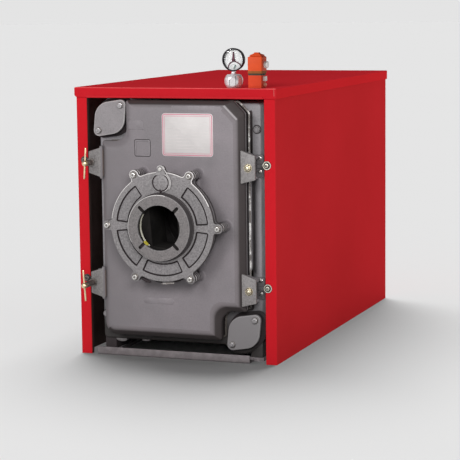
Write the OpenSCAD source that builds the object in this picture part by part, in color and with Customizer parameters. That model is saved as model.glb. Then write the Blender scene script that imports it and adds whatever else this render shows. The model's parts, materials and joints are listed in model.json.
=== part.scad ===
// Red-cased cast-iron sectional boiler with a swinging burner door.
// Local layout inside at(): X from the left casing side, Y from the plane of
// the front stiles (positive towards the back), Z up from the floor.

/* [Casing] */
// Width of the sheet casing over its two side panels
case_w = 590; // [580:1:620]
// Depth of the casing from front stile to rear stile
case_d = 1130; // [1120:5:1400]
// Height of the casing to the top of the lid
case_h = 760; // [758:1:800]
// Sheet metal thickness
sheet = 1.5; // [1:0.5:2]
// Width of the front and rear stiles
stile_w = 32; // [28:1:32]
// Height of the lid's hanging lips
lip_h = 28; // [20:1:28]
// Overhang of the lid over the side panels
lid_over = 4; // [3:1:8]

/* [Boiler block] */
// Distance from one section to the next
pitch = 115; // [100:1:115]
// Number of middle sections
n_mid = 7; // [3:1:7]
// Height of the burner axis above the floor
axis_z = 386; // [380:1:390]
// Radius of the furnace
furnace_r = 140; // [120:1:140]

/* [Burner door] */
// Height of the top edge of the door
door_top = 725; // [715:1:726]
// Height of the bottom edge of the door
door_bot = 63; // [55:1:75]
// Depth of the burner boss in front of the door face
boss_d = 58; // [40:1:60]
// Radius of the burner hole
hole_r = 62; // [50:0.5:65]
// Pitch circle radius of the flange bolts
pc_r = 162.7; // [160:0.1:166]
// Height of the upper clamp screw and hinge
lug_up = 549; // [540:1:560]
// Height of the lower clamp screw and hinge
lug_lo = 213; // [205:1:225]

/* [Gauge] */
// Radius of the gauge case
gauge_r = 31.5; // [26:0.5:32]

/* [Flue] */
// Outer radius of the flue collar
flue_r = 100; // [75:1:110]

/* [Hidden] */
$fn = 64;
cx = 295;                     // burner axis from the left casing side
front_y = -123;               // front face of the burner hub
rear_y = case_d + 60;         // end of the flue collar
y_shift = -(front_y + rear_y) / 2;
face_y = -28;                 // front face of the door
sec_y = 38;                   // front face of the front section
port_x = 98.5; port_z = 85;   // port from the right side and from the floor
port_zt = 674;                // upper port
ring_y = -98;                 // front face of the burner flange
hx = 521; hy = -6;            // hinge axis
sx = 53.5;                    // clamp screw axis
zc = [lug_up + 3, lug_lo - 1.5];        // clamp screws, upper and lower
zh = [lug_up - 3, lug_lo - 6];          // hinges, upper and lower
handle_y = [-66, -87];        // planes of the T handles, upper and lower
door_back = 4;                // back edge of the door's wall
gx = 465; gy = 22;            // gauge axis
gz = 837;                     // height of the gauge's centre
last_y = sec_y + pitch * (n_mid + 1);   // front face of the rear section
block_back = last_y + pitch - 3;

// ---- helpers ---------------------------------------------------------
module at() { translate([-case_w / 2, y_shift, 0]) children(); }
// extrude an X-Z outline from y0 to y1
module ex(y0, y1) { translate([0, y1, 0]) rotate([90, 0, 0]) linear_extrude(y1 - y0) children(); }
module cy(x, z, y0, y1, r) { translate([x, y1, z]) rotate([90, 0, 0]) cylinder(h = y1 - y0, r = r); }
module hexy(x, z, y0, y1, af, turn = 0) { translate([x, y1, z]) rotate([90, turn, 0]) cylinder(h = y1 - y0, r = af / sqrt(3), $fn = 6); }
module box(a, b) { translate(a) cube([b[0] - a[0], b[1] - a[1], b[2] - a[2]]); }
module rr(x0, z0, x1, z1, r) {
  translate([x0 + r, z0]) square([x1 - x0 - 2 * r, z1 - z0]);
  translate([x0, z0 + r]) square([x1 - x0, z1 - z0 - 2 * r]);
  for (x = [x0 + r, x1 - r], z = [z0 + r, z1 - r]) translate([x, z]) circle(r);
}
// outline of a round plate with two ears on a diagonal
module leaf(rc, re, ex_, ez_) {
  d = sqrt(ex_ * ex_ + ez_ * ez_);
  a = atan2(ez_, ex_);
  t = acos((rc - re) / d);
  circle(rc);
  for (s = [0, 180]) rotate(a + s) {
    translate([d, 0]) circle(re);
    polygon([[(rc - 0.5) * cos(t), -(rc - 0.5) * sin(t)], [d + (re - 0.5) * cos(t), -(re - 0.5) * sin(t)],
      [d + (re - 0.5) * cos(t), (re - 0.5) * sin(t)], [(rc - 0.5) * cos(t), (rc - 0.5) * sin(t)]]);
  }
}
// corner notch with a round inner corner, to the right of a and below b
module notch(a, b, r) {
  translate([a + r, -100]) square([900, b + 100]);
  translate([a, -100]) square([900, b - r + 100]);
  translate([a + r, b - r]) circle(r);
}
module both_ports() { translate([case_w - port_x, port_z]) children(); translate([port_x, port_zt]) children(); }
module sec_outline() union() {
  difference() {
    rr(54, 41, 536, 717, 11);
    translate([474, 0]) square([80, 80]);
    translate([0, 679]) square([116, 80]);
  }
  // round corners over the water ports
  translate([473, 80]) circle(62.5);
  translate([117, 679]) circle(62.5);
}
module flue_ways() {
  for (x = [103, 487]) hull_slot(x, 386, 22, 120);
  translate([cx, 600]) rr(-95, -24, 95, 24, 20);
  translate([cx, 172]) rr(-95, -24, 95, 24, 20);
}
module hull_slot(x, z, r, h) { translate([x - r, z - h]) square([2 * r, 2 * h]); for (s = [-1, 1]) translate([x, z + s * h]) circle(r); }

// ---- casing ----------------------------------------------------------
module panel_shape() {
  box([0, 0, 2], [sheet, case_d, case_h - 3]);
  for (y = [0, case_d - sheet]) box([0, y, 2], [stile_w, y + sheet, case_h - 3]);
  box([stile_w - sheet, 0, 2], [stile_w, 15, case_h - 3]);
  box([stile_w - sheet, case_d - 15, 2], [stile_w, case_d, case_h - 3]);
}
module side_panel_left() color("firebrick") at() difference() {
  panel_shape();
  for (z = [lug_up + 6, lug_lo + 6]) cy(22, z, -5, 10, 4.2);
}
module side_panel_right() color("firebrick") at() difference() {
  translate([case_w, 0, 0]) mirror([1, 0, 0]) panel_shape();
  for (z = [lug_up + 2, lug_lo]) cy(565.5, z, -5, 10, 4.2);
}
module top_cover() color("firebrick") at() difference() {
  o = lid_over;
  union() {
    box([-o, -o - 1, case_h - sheet], [case_w + o, case_d + o, case_h]);
    box([-o, -o - 1, case_h - lip_h], [case_w + o, -o - 1 + sheet, case_h]);
    box([stile_w + 1, -o - 1, case_h - lip_h], [case_w - stile_w - 1, 5, case_h - lip_h + sheet]);
    box([-o, case_d + o - sheet, case_h - lip_h], [case_w + o, case_d + o, case_h]);
    for (x = [-o, case_w + o - sheet]) box([x, -o - 1, case_h - lip_h], [x + sheet, case_d + o, case_h]);
  }
  translate([gx, gy, case_h - 5]) cylinder(h = 10, r = 8.2);
  translate([530, 24, case_h - 5]) cylinder(h = 10, r = 8.2);
}
module rear_panel() color("firebrick") at() difference() {
  box([stile_w + 1, case_d - 4, 2], [case_w - stile_w - 1, case_d - 2.5, case_h - 3]);
  cy(cx, 560, case_d - 10, case_d + 5, flue_r + 8);
  cy(port_x, port_zt, case_d - 10, case_d + 5, 46);
  cy(case_w - port_x, port_z, case_d - 10, case_d + 5, 46);
}

// ---- base frame ------------------------------------------------------
module base_rail_front() color("dimgray") at() {
  box([50, 0, 0], [510, 3, 22]);
  box([50, 0, 0], [510, sec_y, 3]);
}
module base_rail_left() color("dimgray") at() base_side(52);
module base_rail_right() color("dimgray") at() base_side(496);
module base_side(x) { box([x, sec_y, 0], [x + 42, block_back, 10]); }
module base_rail_rear() color("dimgray") at() {
  box([50, block_back, 0], [510, block_back + 38, 3]);
  box([50, block_back + 35, 0], [510, block_back + 38, 22]);
}

// ---- boiler block ----------------------------------------------------
module section_2d() difference() {
  union() {
    sec_outline();
    // feet
    for (x = [56, 500]) translate([x, 10]) square([34, 40]);
  }
  flue_ways();
}
module front_section() color("slategray") at() difference() {
  union() {
    ex(sec_y, sec_y + pitch - 3) section_2d();
    // bosses of the water ports
    ex(14.5, sec_y) both_ports() { circle(40); rotate(46.66) translate([-48.8, -11]) square([97.6, 22]); for (s = [-1, 1]) translate([s * 33.5, s * 35.5]) circle(12); }
  }
  cy(cx, axis_z, 0, sec_y + pitch, furnace_r);
  for (p = [[port_x, port_zt], [case_w - port_x, port_z]]) {
    cy(p[0], p[1], 10, sec_y + pitch, 30);
    for (s = [-1, 1]) cy(p[0] + s * 33.5, p[1] + s * 35.5, 10, 36, 5);
  }
  for (p = [[525, 646], [65, 112]]) cy(p[0], p[1], 30, sec_y + pitch, 6.5);
}
module middle_sections() color("slategray") at() difference() {
  for (i = [1 : n_mid]) ex(sec_y + pitch * i, sec_y + pitch * (i + 1) - 3) section_2d();
  cy(cx, axis_z, 100, last_y, furnace_r);
  for (p = [[port_x, port_zt], [case_w - port_x, port_z]]) cy(p[0], p[1], 100, last_y, 30);
  for (p = [[525, 646], [65, 112]]) cy(p[0], p[1], 100, last_y, 6.5);
}
module rear_section() color("slategray") at() difference() {
  ex(last_y, block_back) union() { sec_outline(); for (x = [56, 500]) translate([x, 10]) square([34, 40]); }
  cy(cx, axis_z, last_y - 5, block_back - 40, furnace_r);
  ex(last_y - 1, block_back - 40) flue_ways();
  cy(cx, 560, block_back - 60, block_back + 5, flue_r - 8);
  for (p = [[port_x, port_zt], [case_w - port_x, port_z]]) cy(p[0], p[1], last_y - 5, block_back + 5, 30);
  for (p = [[525, 646], [65, 112]]) cy(p[0], p[1], last_y - 5, block_back + 5, 6.5);
}
module tie_rods() color("darkgray") at() for (p = [[525, 646], [65, 112]]) {
  cy(p[0], p[1], sec_y - 4, block_back + 14, 6);
  for (y = [sec_y - 8, block_back + 1.5]) hexy(p[0], p[1], y, y + 6.5, 17);
  for (y = [sec_y - 1.5, block_back]) cy(p[0], p[1], y, y + 1.5, 10);
}
module cover_plate(p) difference() {
  ex(5.5, 14.5) translate(p) leaf(46, 16, 33.5, 35.5);
  for (s = [-1, 1]) cy(p[0] + s * 33.5, p[1] + s * 35.5, 0, 20, 5);
}
module cover_plate_top() color("gray") at() cover_plate([port_x, port_zt]);
module cover_plate_bottom() color("gray") at() cover_plate([case_w - port_x, port_z]);
module cover_plate_bolts() color("silver") at()
  for (p = [[port_x, port_zt], [case_w - port_x, port_z]], s = [-1, 1]) {
    hexy(p[0] + s * 33.5, p[1] + s * 35.5, -1.5, 5.5, 15);
    cy(p[0] + s * 33.5, p[1] + s * 35.5, 5, 34, 4.9);
  }

// ---- hinge and latch fittings on the section -------------------------
module hinge_brackets() color("dimgray") at() for (z = zh) difference() {
  union() {
    ex(28, sec_y) rr(515, z - 31, 546, z + 31, 6);
    for (s = [-1, 1]) translate([0, 0, z + s * 12.5 - 4.5]) {
      translate([515, hy, 0]) cube([12, 36, 9]);
      translate([hx, hy, 0]) cylinder(h = 9, r = 7);
    }
  }
  translate([hx, hy, z - 20]) cylinder(h = 40, r = 4);
}
module hinge_pins() color("silver") at() for (z = zh) {
  translate([hx, hy, z - 18]) cylinder(h = 35, r = 4);
  translate([hx, hy, z + 17]) cylinder(h = 3, r = 6);
}
module latch_blocks() color("dimgray") at() for (z = zc) difference() {
  union() {
    ex(28, sec_y) rr(42.5, z - 31, 73, z + 31, 6);
    ex(-12, 28) rr(42.5, z - 12, 64.5, z + 12, 4);
  }
  cy(sx, z, -20, 30, 6);
}
module stile_bolts() color("silver") at() {
  for (z = [lug_up + 6, lug_lo + 6]) stile_bolt(22, z, 11);
  for (z = [lug_up + 2, lug_lo]) stile_bolt(565.5, z, 12.5);
}
module stile_bolt(x, z, w) { cy(x, z, -1.5, 0, w); hexy(x, z, -6.5, -1.5, 15); cy(x, z, -1, 12, 4); }

// ---- gauge and thermostat on the lid ---------------------------------
module gauge_bush() color("lightgray") at() {
  translate([gx, gy, case_h]) cylinder(h = 22, r = 25);
  translate([gx, gy, case_h + 22]) intersection() { sphere(r = 25); cylinder(h = 15, r = 25); }
  translate([gx, gy, case_h + 34]) cylinder(h = 4, r = 10);
  translate([gx, gy, case_h - 14]) cylinder(h = 15, r = 8);
}
module gauge_case() color("black") at() {
  difference() {
    cy(gx + 2.5, gz, 8, 27, gauge_r);
    cy(gx + 2.5, gz, 6, 15.5, gauge_r - 2.2);
  }
  translate([gx + 1, 19.5, case_h + 38]) cylinder(h = 9.5, r = 5.5);
}
module gauge_dial() color("white") at() cy(gx + 2.5, gz, 14, 15.5, gauge_r - 2.4);
module gauge_pointers() color("black") at() {
  cy(gx + 2.5, gz, 11, 14, 2.6);
  box([gx + 1.7, 11.5, gz], [gx + 3.3, 13, gz + 22]);
  translate([gx + 5.5, 0, 0]) box([-0.7, 11.5, gz - 23], [0.7, 14, gz - 10]);
}
module gauge_glass() color("lightblue") at() cy(gx + 2.5, gz, 9, 10, gauge_r - 2.3);
module thermostat_base() color("orangered") at() {
  box([512, 5, case_h], [551, 41, case_h + 38]);
  translate([530, 24, case_h - 14]) cylinder(h = 15, r = 8);
}
module thermostat_cover() color("orangered") at() {
  box([511, 4, case_h + 39.5], [553, 43, case_h + 87]);
  box([513, 6, case_h + 38], [550, 40, case_h + 39.5]);
  box([517, 10, case_h + 87], [547, 37, case_h + 92]);
  box([526, 17, case_h + 92], [538, 30, case_h + 96]);
}
module cable_glands() color("ivory") at() {
  translate([553, 24, 823]) rotate([0, 90, 0]) cylinder(h = 10, r = 9);
  translate([551, 24, 785]) rotate([0, 90, 0]) cylinder(h = 7, r = 6);
}

// ---- rear connections ------------------------------------------------
module flue_collar() color("slategray") at() difference() {
  union() {
    cy(cx, 560, block_back, rear_y, flue_r);
    cy(cx, 560, block_back, block_back + 10, flue_r + 15);
  }
  cy(cx, 560, block_back - 5, rear_y + 5, flue_r - 6);
}
module connection(p) difference() {
  union() {
    cy(p[0], p[1], block_back, case_d + 50, 38);
    cy(p[0], p[1], block_back, block_back + 10, 42);
  }
  cy(p[0], p[1], block_back - 5, case_d + 55, 32);
}
module flow_connection() color("dimgray") at() connection([port_x, port_zt]);
module return_connection() color("dimgray") at() connection([case_w - port_x, port_z]);

// ---- burner door -----------------------------------------------------
module door2d(i) difference() {
  rr(83 + i, door_bot + i, 507 - i, door_top - i, max(20 - i, 3));
  notch(433 - i, 146 + i, 50 + i);
  translate([case_w, 758]) rotate(180) notch(433 - i, 146 + i, 50 + i);
  // bevelled corner
  polygon([[470 - i * 1.414, door_top + 5], [515, door_top + 5], [515, door_top - 40 - i * 1.414]]);
}
module lug_2d(sgn, h0, h1, xo, xi, z) polygon([[xo, z - h0], [xo, z + h0], [xi, z + h1], [xi, z - h1]]);
module lug_left(z) difference() {
  union() {
    ex(face_y, face_y + 10) lug_2d(-1, 30, 43, 47, 86, z);
    ex(face_y + 9, 0) difference() { lug_2d(-1, 30, 43, 47, 86, z); lug_2d(-1, 23, 36, 46, 87, z); }
  }
  ex(face_y - 5, face_y + 15) union() { translate([sx, z]) circle(9); translate([38, z - 9]) square([sx - 38, 18]); }
}
module lug_right(z) difference() {
  union() {
    ex(face_y, face_y + 10) lug_2d(1, 33, 46, 541, 504, z);
    ex(face_y + 9, 0) difference() { lug_2d(1, 33, 46, 541, 504, z); lug_2d(1, 26, 39, 542, 503, z); }
  }
  cy(hx, z, face_y - 5, face_y + 15, 5.5);
}
module bolt_spots() for (a = [0 : 60 : 300]) translate([cx + pc_r * cos(a), axis_z + pc_r * sin(a)]) children();
module burner_door() color("gray") at() {
  difference() {
    union() {
      ex(face_y, face_y + 4) door2d(17);
      ex(face_y + 4, face_y + 9) door2d(12);
      ex(face_y + 9, face_y + 14) door2d(7);
      ex(face_y + 14, face_y + 18) door2d(2);
      ex(face_y + 18, door_back) door2d(0);
      ex(face_y - boss_d, face_y) { translate([cx, axis_z]) circle(141); bolt_spots() circle(13); }
      ex(face_y - 1, face_y) translate([cx, axis_z]) circle(150);
    }
    ex(face_y + 12, 30) door2d(20);
    cy(cx, axis_z, face_y - boss_d - 5, 0, 127);
    // bolt holes of the burner flange
    bolt_spots_holes();
  }
  for (z = zc) lug_left(z);
  for (z = zh) lug_right(z);
}
module bolt_spots_holes() for (a = [0 : 60 : 300]) cy(cx + pc_r * cos(a), axis_z + pc_r * sin(a), face_y - boss_d - 5, face_y - 20, 5);
module door_insulation() color("wheat") at() difference() {
  union() {
    ex(face_y + 12, 32) door2d(20.3);
    cy(cx, axis_z, face_y - boss_d, face_y + 13, 126.7);
  }
  cy(cx, axis_z, face_y - boss_d - 5, 40, 66);
}
module rope_seal() color("ivory") at() {
  ex(door_back, 37.5) difference() { door2d(4); door2d(16); }
  ex(10, 30) difference() { door2d(-2); door2d(10); }
}
module burner_flange() color("gray") at() difference() {
  union() {
    ex(ring_y, ring_y + 12) { translate([cx, axis_z]) circle(151); bolt_spots() circle(14); translate([cx, 543]) circle(11); }
    cy(cx, axis_z, front_y, ring_y + 12, 91);
  }
  cy(cx, axis_z, front_y - 5, 0, hole_r);
  cy(cx, axis_z, front_y + 10, 0, 80);
  // burner fixing slots
  for (a = [45 : 90 : 315]) translate([cx, 0, axis_z]) rotate([0, -a, 0]) {
    translate([55, front_y - 1, -4]) cube([25, 12, 8]);
    translate([80, front_y + 11, 0]) rotate([90, 0, 0]) cylinder(h = 12, r = 4);
  }
  for (a = [0 : 60 : 300]) cy(cx + pc_r * cos(a), axis_z + pc_r * sin(a), ring_y - 5, ring_y + 20, 5.5);
  // sight hole under the swivelling cover
  cy(cx, 508, ring_y - 5, ring_y + 20, 12);
  // tapped hole of the cover's pivot screw
  cy(cx, 545, ring_y - 5, ring_y + 6, 3);
}
module flange_bolts() color("silver") at() for (a = [0 : 60 : 300]) {
  x = cx + pc_r * cos(a); z = axis_z + pc_r * sin(a);
  hexy(x, z, ring_y - 7, ring_y, 17, 15);
  cy(x, z, ring_y - 1, face_y - 22, 4.9);
}
module burner_gasket() color("khaki") at() difference() {
  cy(cx, axis_z, front_y + 10, front_y + 18, 79.8);
  cy(cx, axis_z, front_y, front_y + 30, hole_r + 1);
}
module label_plate() color("white") at() ex(face_y - 1, face_y) rr(271, 574, 421, 692, 8);
module hinge_bolts() color("goldenrod") at() for (z = zh) {
  difference() {
    union() {
      translate([hx, hy, z - 7]) cylinder(h = 14, r = 7);
      cy(hx, z, -37.5, hy - 5, 5);
      cy(hx, z, -29.5, -28, 10.5);
      hexy(hx, z, -36.5, -29.5, 15);
    }
    translate([hx, hy, z - 10]) cylinder(h = 20, r = 4.05);
  }
}
module cover_screw() color("silver") at() {
  cy(cx, 545, ring_y - 6, ring_y + 6, 3);
  cy(cx, 545, ring_y - 9, ring_y - 6, 6);
}

// ---- pieces that move on the door ------------------------------------
module sight_cover() color("gray") at() difference() {
  union() {
    cy(cx, 508, ring_y - 5.5, ring_y - 0.5, 27.5);
    cy(cx, 545, ring_y - 5.5, ring_y - 0.5, 8);
    ex(ring_y - 5.5, ring_y - 0.5) polygon([[cx - 16, 528], [cx + 16, 528], [cx + 7, 548], [cx - 7, 548]]);
  }
  cy(cx, 545, ring_y - 10, ring_y + 5, 3.05);
}
module latch_screw(z, h) {
  cy(sx, z, h + 4, 10, 4.5);
  cy(sx, z, h + 9, face_y - 3, 8);
  cy(sx, z, face_y - 3.5, face_y - 0.5, 12);
}
module latch_handle(z, h, tilt = 0) {
  difference() {
    translate([sx, h, z]) sphere(r = 8.5);
    cy(sx, z, h + 4, h + 20, 4.5);
  }
  translate([sx, h, z]) rotate([0, tilt, 0]) translate([0, 0, -44]) cylinder(h = 88, r = 2.6);
}
module latch_screw_upper() color("dimgray") at() latch_screw(zc[0], handle_y[0]);
module latch_handle_upper() color("goldenrod") at() latch_handle(zc[0], handle_y[0], 4);
module latch_screw_lower() color("dimgray") at() latch_screw(zc[1], handle_y[1]);
module latch_handle_lower() color("goldenrod") at() latch_handle(zc[1], handle_y[1], -3.9);

side_panel_left();
side_panel_right();
top_cover();
rear_panel();
base_rail_front();
base_rail_left();
base_rail_right();
base_rail_rear();
front_section();
middle_sections();
rear_section();
tie_rods();
cover_plate_top();
cover_plate_bottom();
cover_plate_bolts();
hinge_brackets();
hinge_pins();
latch_blocks();
stile_bolts();
gauge_bush();
gauge_case();
gauge_dial();
gauge_pointers();
gauge_glass();
thermostat_base();
thermostat_cover();
cable_glands();
flue_collar();
flow_connection();
return_connection();
burner_door();
door_insulation();
rope_seal();
burner_flange();
flange_bolts();
burner_gasket();
label_plate();
hinge_bolts();
cover_screw();
sight_cover();
latch_screw_upper();
latch_handle_upper();
latch_screw_lower();
latch_handle_lower();
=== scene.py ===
# Cast-iron sectional boiler in a red sheet casing: looks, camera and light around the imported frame.
import bpy
import bmesh
import json
import math
import random
import numpy as np
from mathutils import Matrix, Vector

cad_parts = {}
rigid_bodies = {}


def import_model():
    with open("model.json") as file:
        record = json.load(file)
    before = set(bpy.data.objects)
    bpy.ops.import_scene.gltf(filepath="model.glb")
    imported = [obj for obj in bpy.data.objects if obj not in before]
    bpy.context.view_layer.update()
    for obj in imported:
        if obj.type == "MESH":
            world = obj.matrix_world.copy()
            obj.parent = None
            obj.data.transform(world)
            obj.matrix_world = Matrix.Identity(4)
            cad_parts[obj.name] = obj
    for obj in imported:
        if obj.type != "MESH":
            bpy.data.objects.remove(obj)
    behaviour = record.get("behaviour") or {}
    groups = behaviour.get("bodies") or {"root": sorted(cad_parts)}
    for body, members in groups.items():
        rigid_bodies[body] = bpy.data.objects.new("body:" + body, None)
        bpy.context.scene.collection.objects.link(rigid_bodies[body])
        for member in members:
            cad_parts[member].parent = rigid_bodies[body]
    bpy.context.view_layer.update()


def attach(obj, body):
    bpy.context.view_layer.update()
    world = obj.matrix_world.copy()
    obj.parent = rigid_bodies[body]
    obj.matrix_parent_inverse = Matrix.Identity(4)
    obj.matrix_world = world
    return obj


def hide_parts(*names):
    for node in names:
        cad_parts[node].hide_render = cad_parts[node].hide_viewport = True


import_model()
random.seed(7)

# ---------------------------------------------------------------- frame
# Lengths below are millimetres: x from the left casing side, y from the front
# stile plane (positive to the back), z from the floor.
CX, SY = 295.0, -533.5


def P(x, y, z):
    return ((x - CX) * 0.001, (y + SY) * 0.001, z * 0.001)


# ---------------------------------------------------------------- mesh code
class Mesh:
    def __init__(self):
        self.v, self.f, self.m, self.mat = [], [], [], 0

    def ring(self, pts):
        a = len(self.v)
        self.v.extend([tuple(float(c) for c in p) for p in pts])
        return list(range(a, len(self.v)))

    def face(self, idx):
        self.f.append(list(idx))
        self.m.append(self.mat)

    def bridge(self, a, b, closed=True):
        n = len(a)
        for i in range(n if closed else n - 1):
            j = (i + 1) % n
            self.face((a[i], a[j], b[j], b[i]))

    def cap(self, ring, flip=False):
        self.face(ring[::-1] if flip else ring)

    def stack(self, loops, cap0=True, cap1=True, closed=True):
        rs = [self.ring(l) for l in loops]
        for a, b in zip(rs, rs[1:]):
            self.bridge(a, b, closed)
        if cap0:
            self.cap(rs[0], True)
        if cap1:
            self.cap(rs[-1])
        return rs

    def add(self, other, mat=None):
        a = len(self.v)
        self.v.extend(other.v)
        for f, m in zip(other.f, other.m):
            self.f.append([i + a for i in f])
            self.m.append(m if mat is None else mat)

    def transform(self, fn):
        self.v = [tuple(fn(*p)) for p in self.v]

    def data(self, name, mats):
        me = bpy.data.meshes.new(name)
        me.from_pydata([P(*p) for p in self.v], [], self.f)
        for k in mats:
            me.materials.append(k)
        me.polygons.foreach_set("material_index", self.m)
        me.update()
        bm = bmesh.new()
        bm.from_mesh(me)
        bmesh.ops.remove_doubles(bm, verts=bm.verts, dist=1e-6)
        bmesh.ops.dissolve_degenerate(bm, edges=bm.edges, dist=1e-7)
        bmesh.ops.recalc_face_normals(bm, faces=bm.faces)
        bm.to_mesh(me)
        bm.free()
        return me

    def obj(self, name, mats, body, slot=None, replaces=(), angle=38):
        me = self.data(name, mats)
        me.shade_smooth()
        me.set_sharp_from_angle(angle=math.radians(angle))
        o = bpy.data.objects.new(name, me)
        bpy.context.scene.collection.objects.link(o)
        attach(o, body)
        if replaces:
            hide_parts(*replaces)
        return o


def arc(cx, cy, r, a0, a1, n):
    return [(cx + r * math.cos(a0 + (a1 - a0) * i / n), cy + r * math.sin(a0 + (a1 - a0) * i / n)) for i in range(n + 1)]


def rad(d):
    return math.radians(d)


def offset(pts, d):
    """A closed loop (counter-clockwise) moved inwards by d, by mitres."""
    p = np.array(pts, float)
    e = np.roll(p, -1, 0) - p
    e /= np.maximum(np.linalg.norm(e, axis=1, keepdims=True), 1e-9)
    n2 = np.stack([e[:, 1], -e[:, 0]], 1)
    n1 = np.roll(n2, 1, 0)
    k = 1 + (n1 * n2).sum(1, keepdims=True)
    n = (n1 + n2) / np.maximum(k, 0.35)
    return p - n * d


def rounded(poly, d=0.0, rmin=1.2, seg=8):
    """A closed polygon [(x, z, r)] (counter-clockwise) offset inwards by d, with its corners rounded; the point count doesn't depend on d."""
    p = np.array([q[:2] for q in poly], float)
    r = [q[2] for q in poly]
    q = offset(p, d) if d else p
    out = []
    n = len(p)
    for i in range(n):
        a = q[i] - q[i - 1]
        b = q[(i + 1) % n] - q[i]
        la, lb = np.linalg.norm(a), np.linalg.norm(b)
        a, b = a / la, b / lb
        turn = math.atan2(a[0] * b[1] - a[1] * b[0], a @ b)
        k = max(2, int(round(abs(turn) / rad(90) * seg + 0.001)))
        side = 1 if turn > 0 else -1
        rr = max(r[i] - d, rmin) if side > 0 else r[i] + d
        t = min(rr * math.tan(abs(turn) / 2), 0.49 * min(la, lb))
        rr = t / math.tan(abs(turn) / 2)
        s = q[i] - a * t
        c = s + np.array((-a[1], a[0])) * rr * side
        a0 = math.atan2(s[1] - c[1], s[0] - c[0])
        out += [(c[0] + rr * math.cos(a0 + turn * j / k), c[1] + rr * math.sin(a0 + turn * j / k)) for j in range(k + 1)]
    return out


def hull_circles(cs, d=0.0, n=96):
    """Outline round circles [(x, z, r)], moved inwards by d."""
    out = []
    for i in range(n):
        a = 2 * math.pi * i / n
        u = (math.cos(a), math.sin(a))
        x, z, r = max(cs, key=lambda c: c[0] * u[0] + c[1] * u[1] + c[2])
        out.append((x + (r - d) * u[0], z + (r - d) * u[1]))
    return out


def at_y(loop, y):
    return [(x, y, z) for x, z in loop]


def edge(r, n=4, y0=0.0, out=-1):
    """(inset, y) pairs of a quarter round of radius r that ends on the plane y0; out is the way the face looks."""
    return [(r - r * math.cos(i * math.pi / 2 / n), y0 - out * (r - r * math.sin(i * math.pi / 2 / n))) for i in range(n + 1)]


def plate(fn, y_front, y_back, r_front=1.0, r_back=0.0, mesh=None, n=3):
    """A plate with outline fn(inset) between two y planes, edges rounded."""
    m = mesh or Mesh()
    loops = []
    if r_back:
        for d, y in edge(r_back, n, y_back, out=1)[::-1]:
            loops.append(at_y(fn(d), y))
    else:
        loops.append(at_y(fn(0.0), y_back))
    fr = edge(r_front, n, y_front, out=-1)
    for d, y in fr:
        loops.append(at_y(fn(d), y))
    loops.append(at_y(fn(r_front + 0.35), y_front))
    m.stack(loops)
    return m


def revolve(profile, c, axis="y", n=48, mesh=None, start=0.0, rfun=None, cap0=True, cap1=True):
    """profile [(r, a)]: radius and place along the axis through c."""
    m = mesh or Mesh()
    loops = []
    for r, a in profile:
        l = []
        for i in range(n):
            t = start + 2 * math.pi * i / n
            q = rfun(r, t) if rfun else r
            u, v = q * math.cos(t), q * math.sin(t)
            if axis == "y":
                l.append((c[0] + u, a, c[1] + v))
            elif axis == "z":
                l.append((c[0] + u, c[1] + v, a))
            else:
                l.append((a, c[0] + u, c[1] + v))
        loops.append(l)
    m.stack(loops, cap0, cap1)
    return m


def tube(path, r, n=12, mesh=None, caps=True, closed=False):
    """A round bar along 3-D points; r may be a list."""
    m = mesh or Mesh()
    p = np.array(path, float)
    k = len(p)
    t = np.zeros_like(p)
    for i in range(k):
        a, b = (p[(i - 1) % k], p[(i + 1) % k]) if closed else (p[max(i - 1, 0)], p[min(i + 1, k - 1)])
        t[i] = (b - a) / max(np.linalg.norm(b - a), 1e-9)
    u = np.cross(t[0], (0.13, 0.27, 0.95))
    if np.linalg.norm(u) < 0.1:
        u = np.cross(t[0], (1, 0, 0))
    u /= np.linalg.norm(u)
    rings = []
    for i in range(k):
        u = u - t[i] * (u @ t[i])
        u /= np.linalg.norm(u)
        w = np.cross(t[i], u)
        rr = r[i] if isinstance(r, (list, tuple, np.ndarray)) else r
        rings.append([p[i] + rr * (math.cos(a) * u + math.sin(a) * w) for a in np.linspace(0, 2 * math.pi, n, endpoint=False)])
    m.stack(rings, caps and not closed, caps and not closed)
    if closed:
        a = m.ring(rings[-1])
        b = m.ring(rings[0])
        m.bridge(a, b)
    return m


def hexr(af):
    def f(r, t):
        a = (math.degrees(t) % 60) - 30
        return min(r, af / 2 / math.cos(rad(a)))
    return f


def hex_bolt(x, z, y_seat, af=15, h=6.0, washer=0.0, wt=1.5, turn=0.0, mesh=None, tip=0.0, collar=0.0, tip_r=4.0, washer_mat=0):
    """A hexagon head (or nut, with tip) that looks to -y, with its chamfer, bearing collar and washer."""
    m = mesh or Mesh()
    y = y_seat
    if washer:
        m.mat = washer_mat
        plate(lambda d: [(x + (washer - d) * math.cos(a), z + (washer - d) * math.sin(a)) for a in np.linspace(0, 2 * math.pi, 32, endpoint=False)], y - wt, y, 0.4, 0.3, m)
        m.mat = 0
        y -= wt
    if collar:
        revolve([(collar, y), (collar, y - 0.8), (collar - 0.6, y - 1.4), (af / 2, y - 2.6)], (x, z), mesh=m, n=36, cap1=False)
    big = af / math.sqrt(3)
    prof = [(big - 0.4, y), (big, y - 0.5), (big, y - h + 1.6), (big * 0.965, y - h + 0.9), (af / 2 * 0.97, y - h + 0.15), (af / 2 * 0.90, y - h)]
    if tip:
        prof += [(tip_r + 0.5, y - h), (tip_r, y - h + 0.4), (tip_r, y - h - tip + 0.8), (tip_r - 0.8, y - h - tip)]
    else:
        prof += [(af / 2 * 0.5, y - h + 0.0), (af / 2 * 0.42, y - h + 0.5)]
    f = hexr(af)
    revolve(prof, (x, z), mesh=m, n=72, start=rad(turn), rfun=lambda r, t: f(r, t - rad(turn)))
    return m


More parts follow.
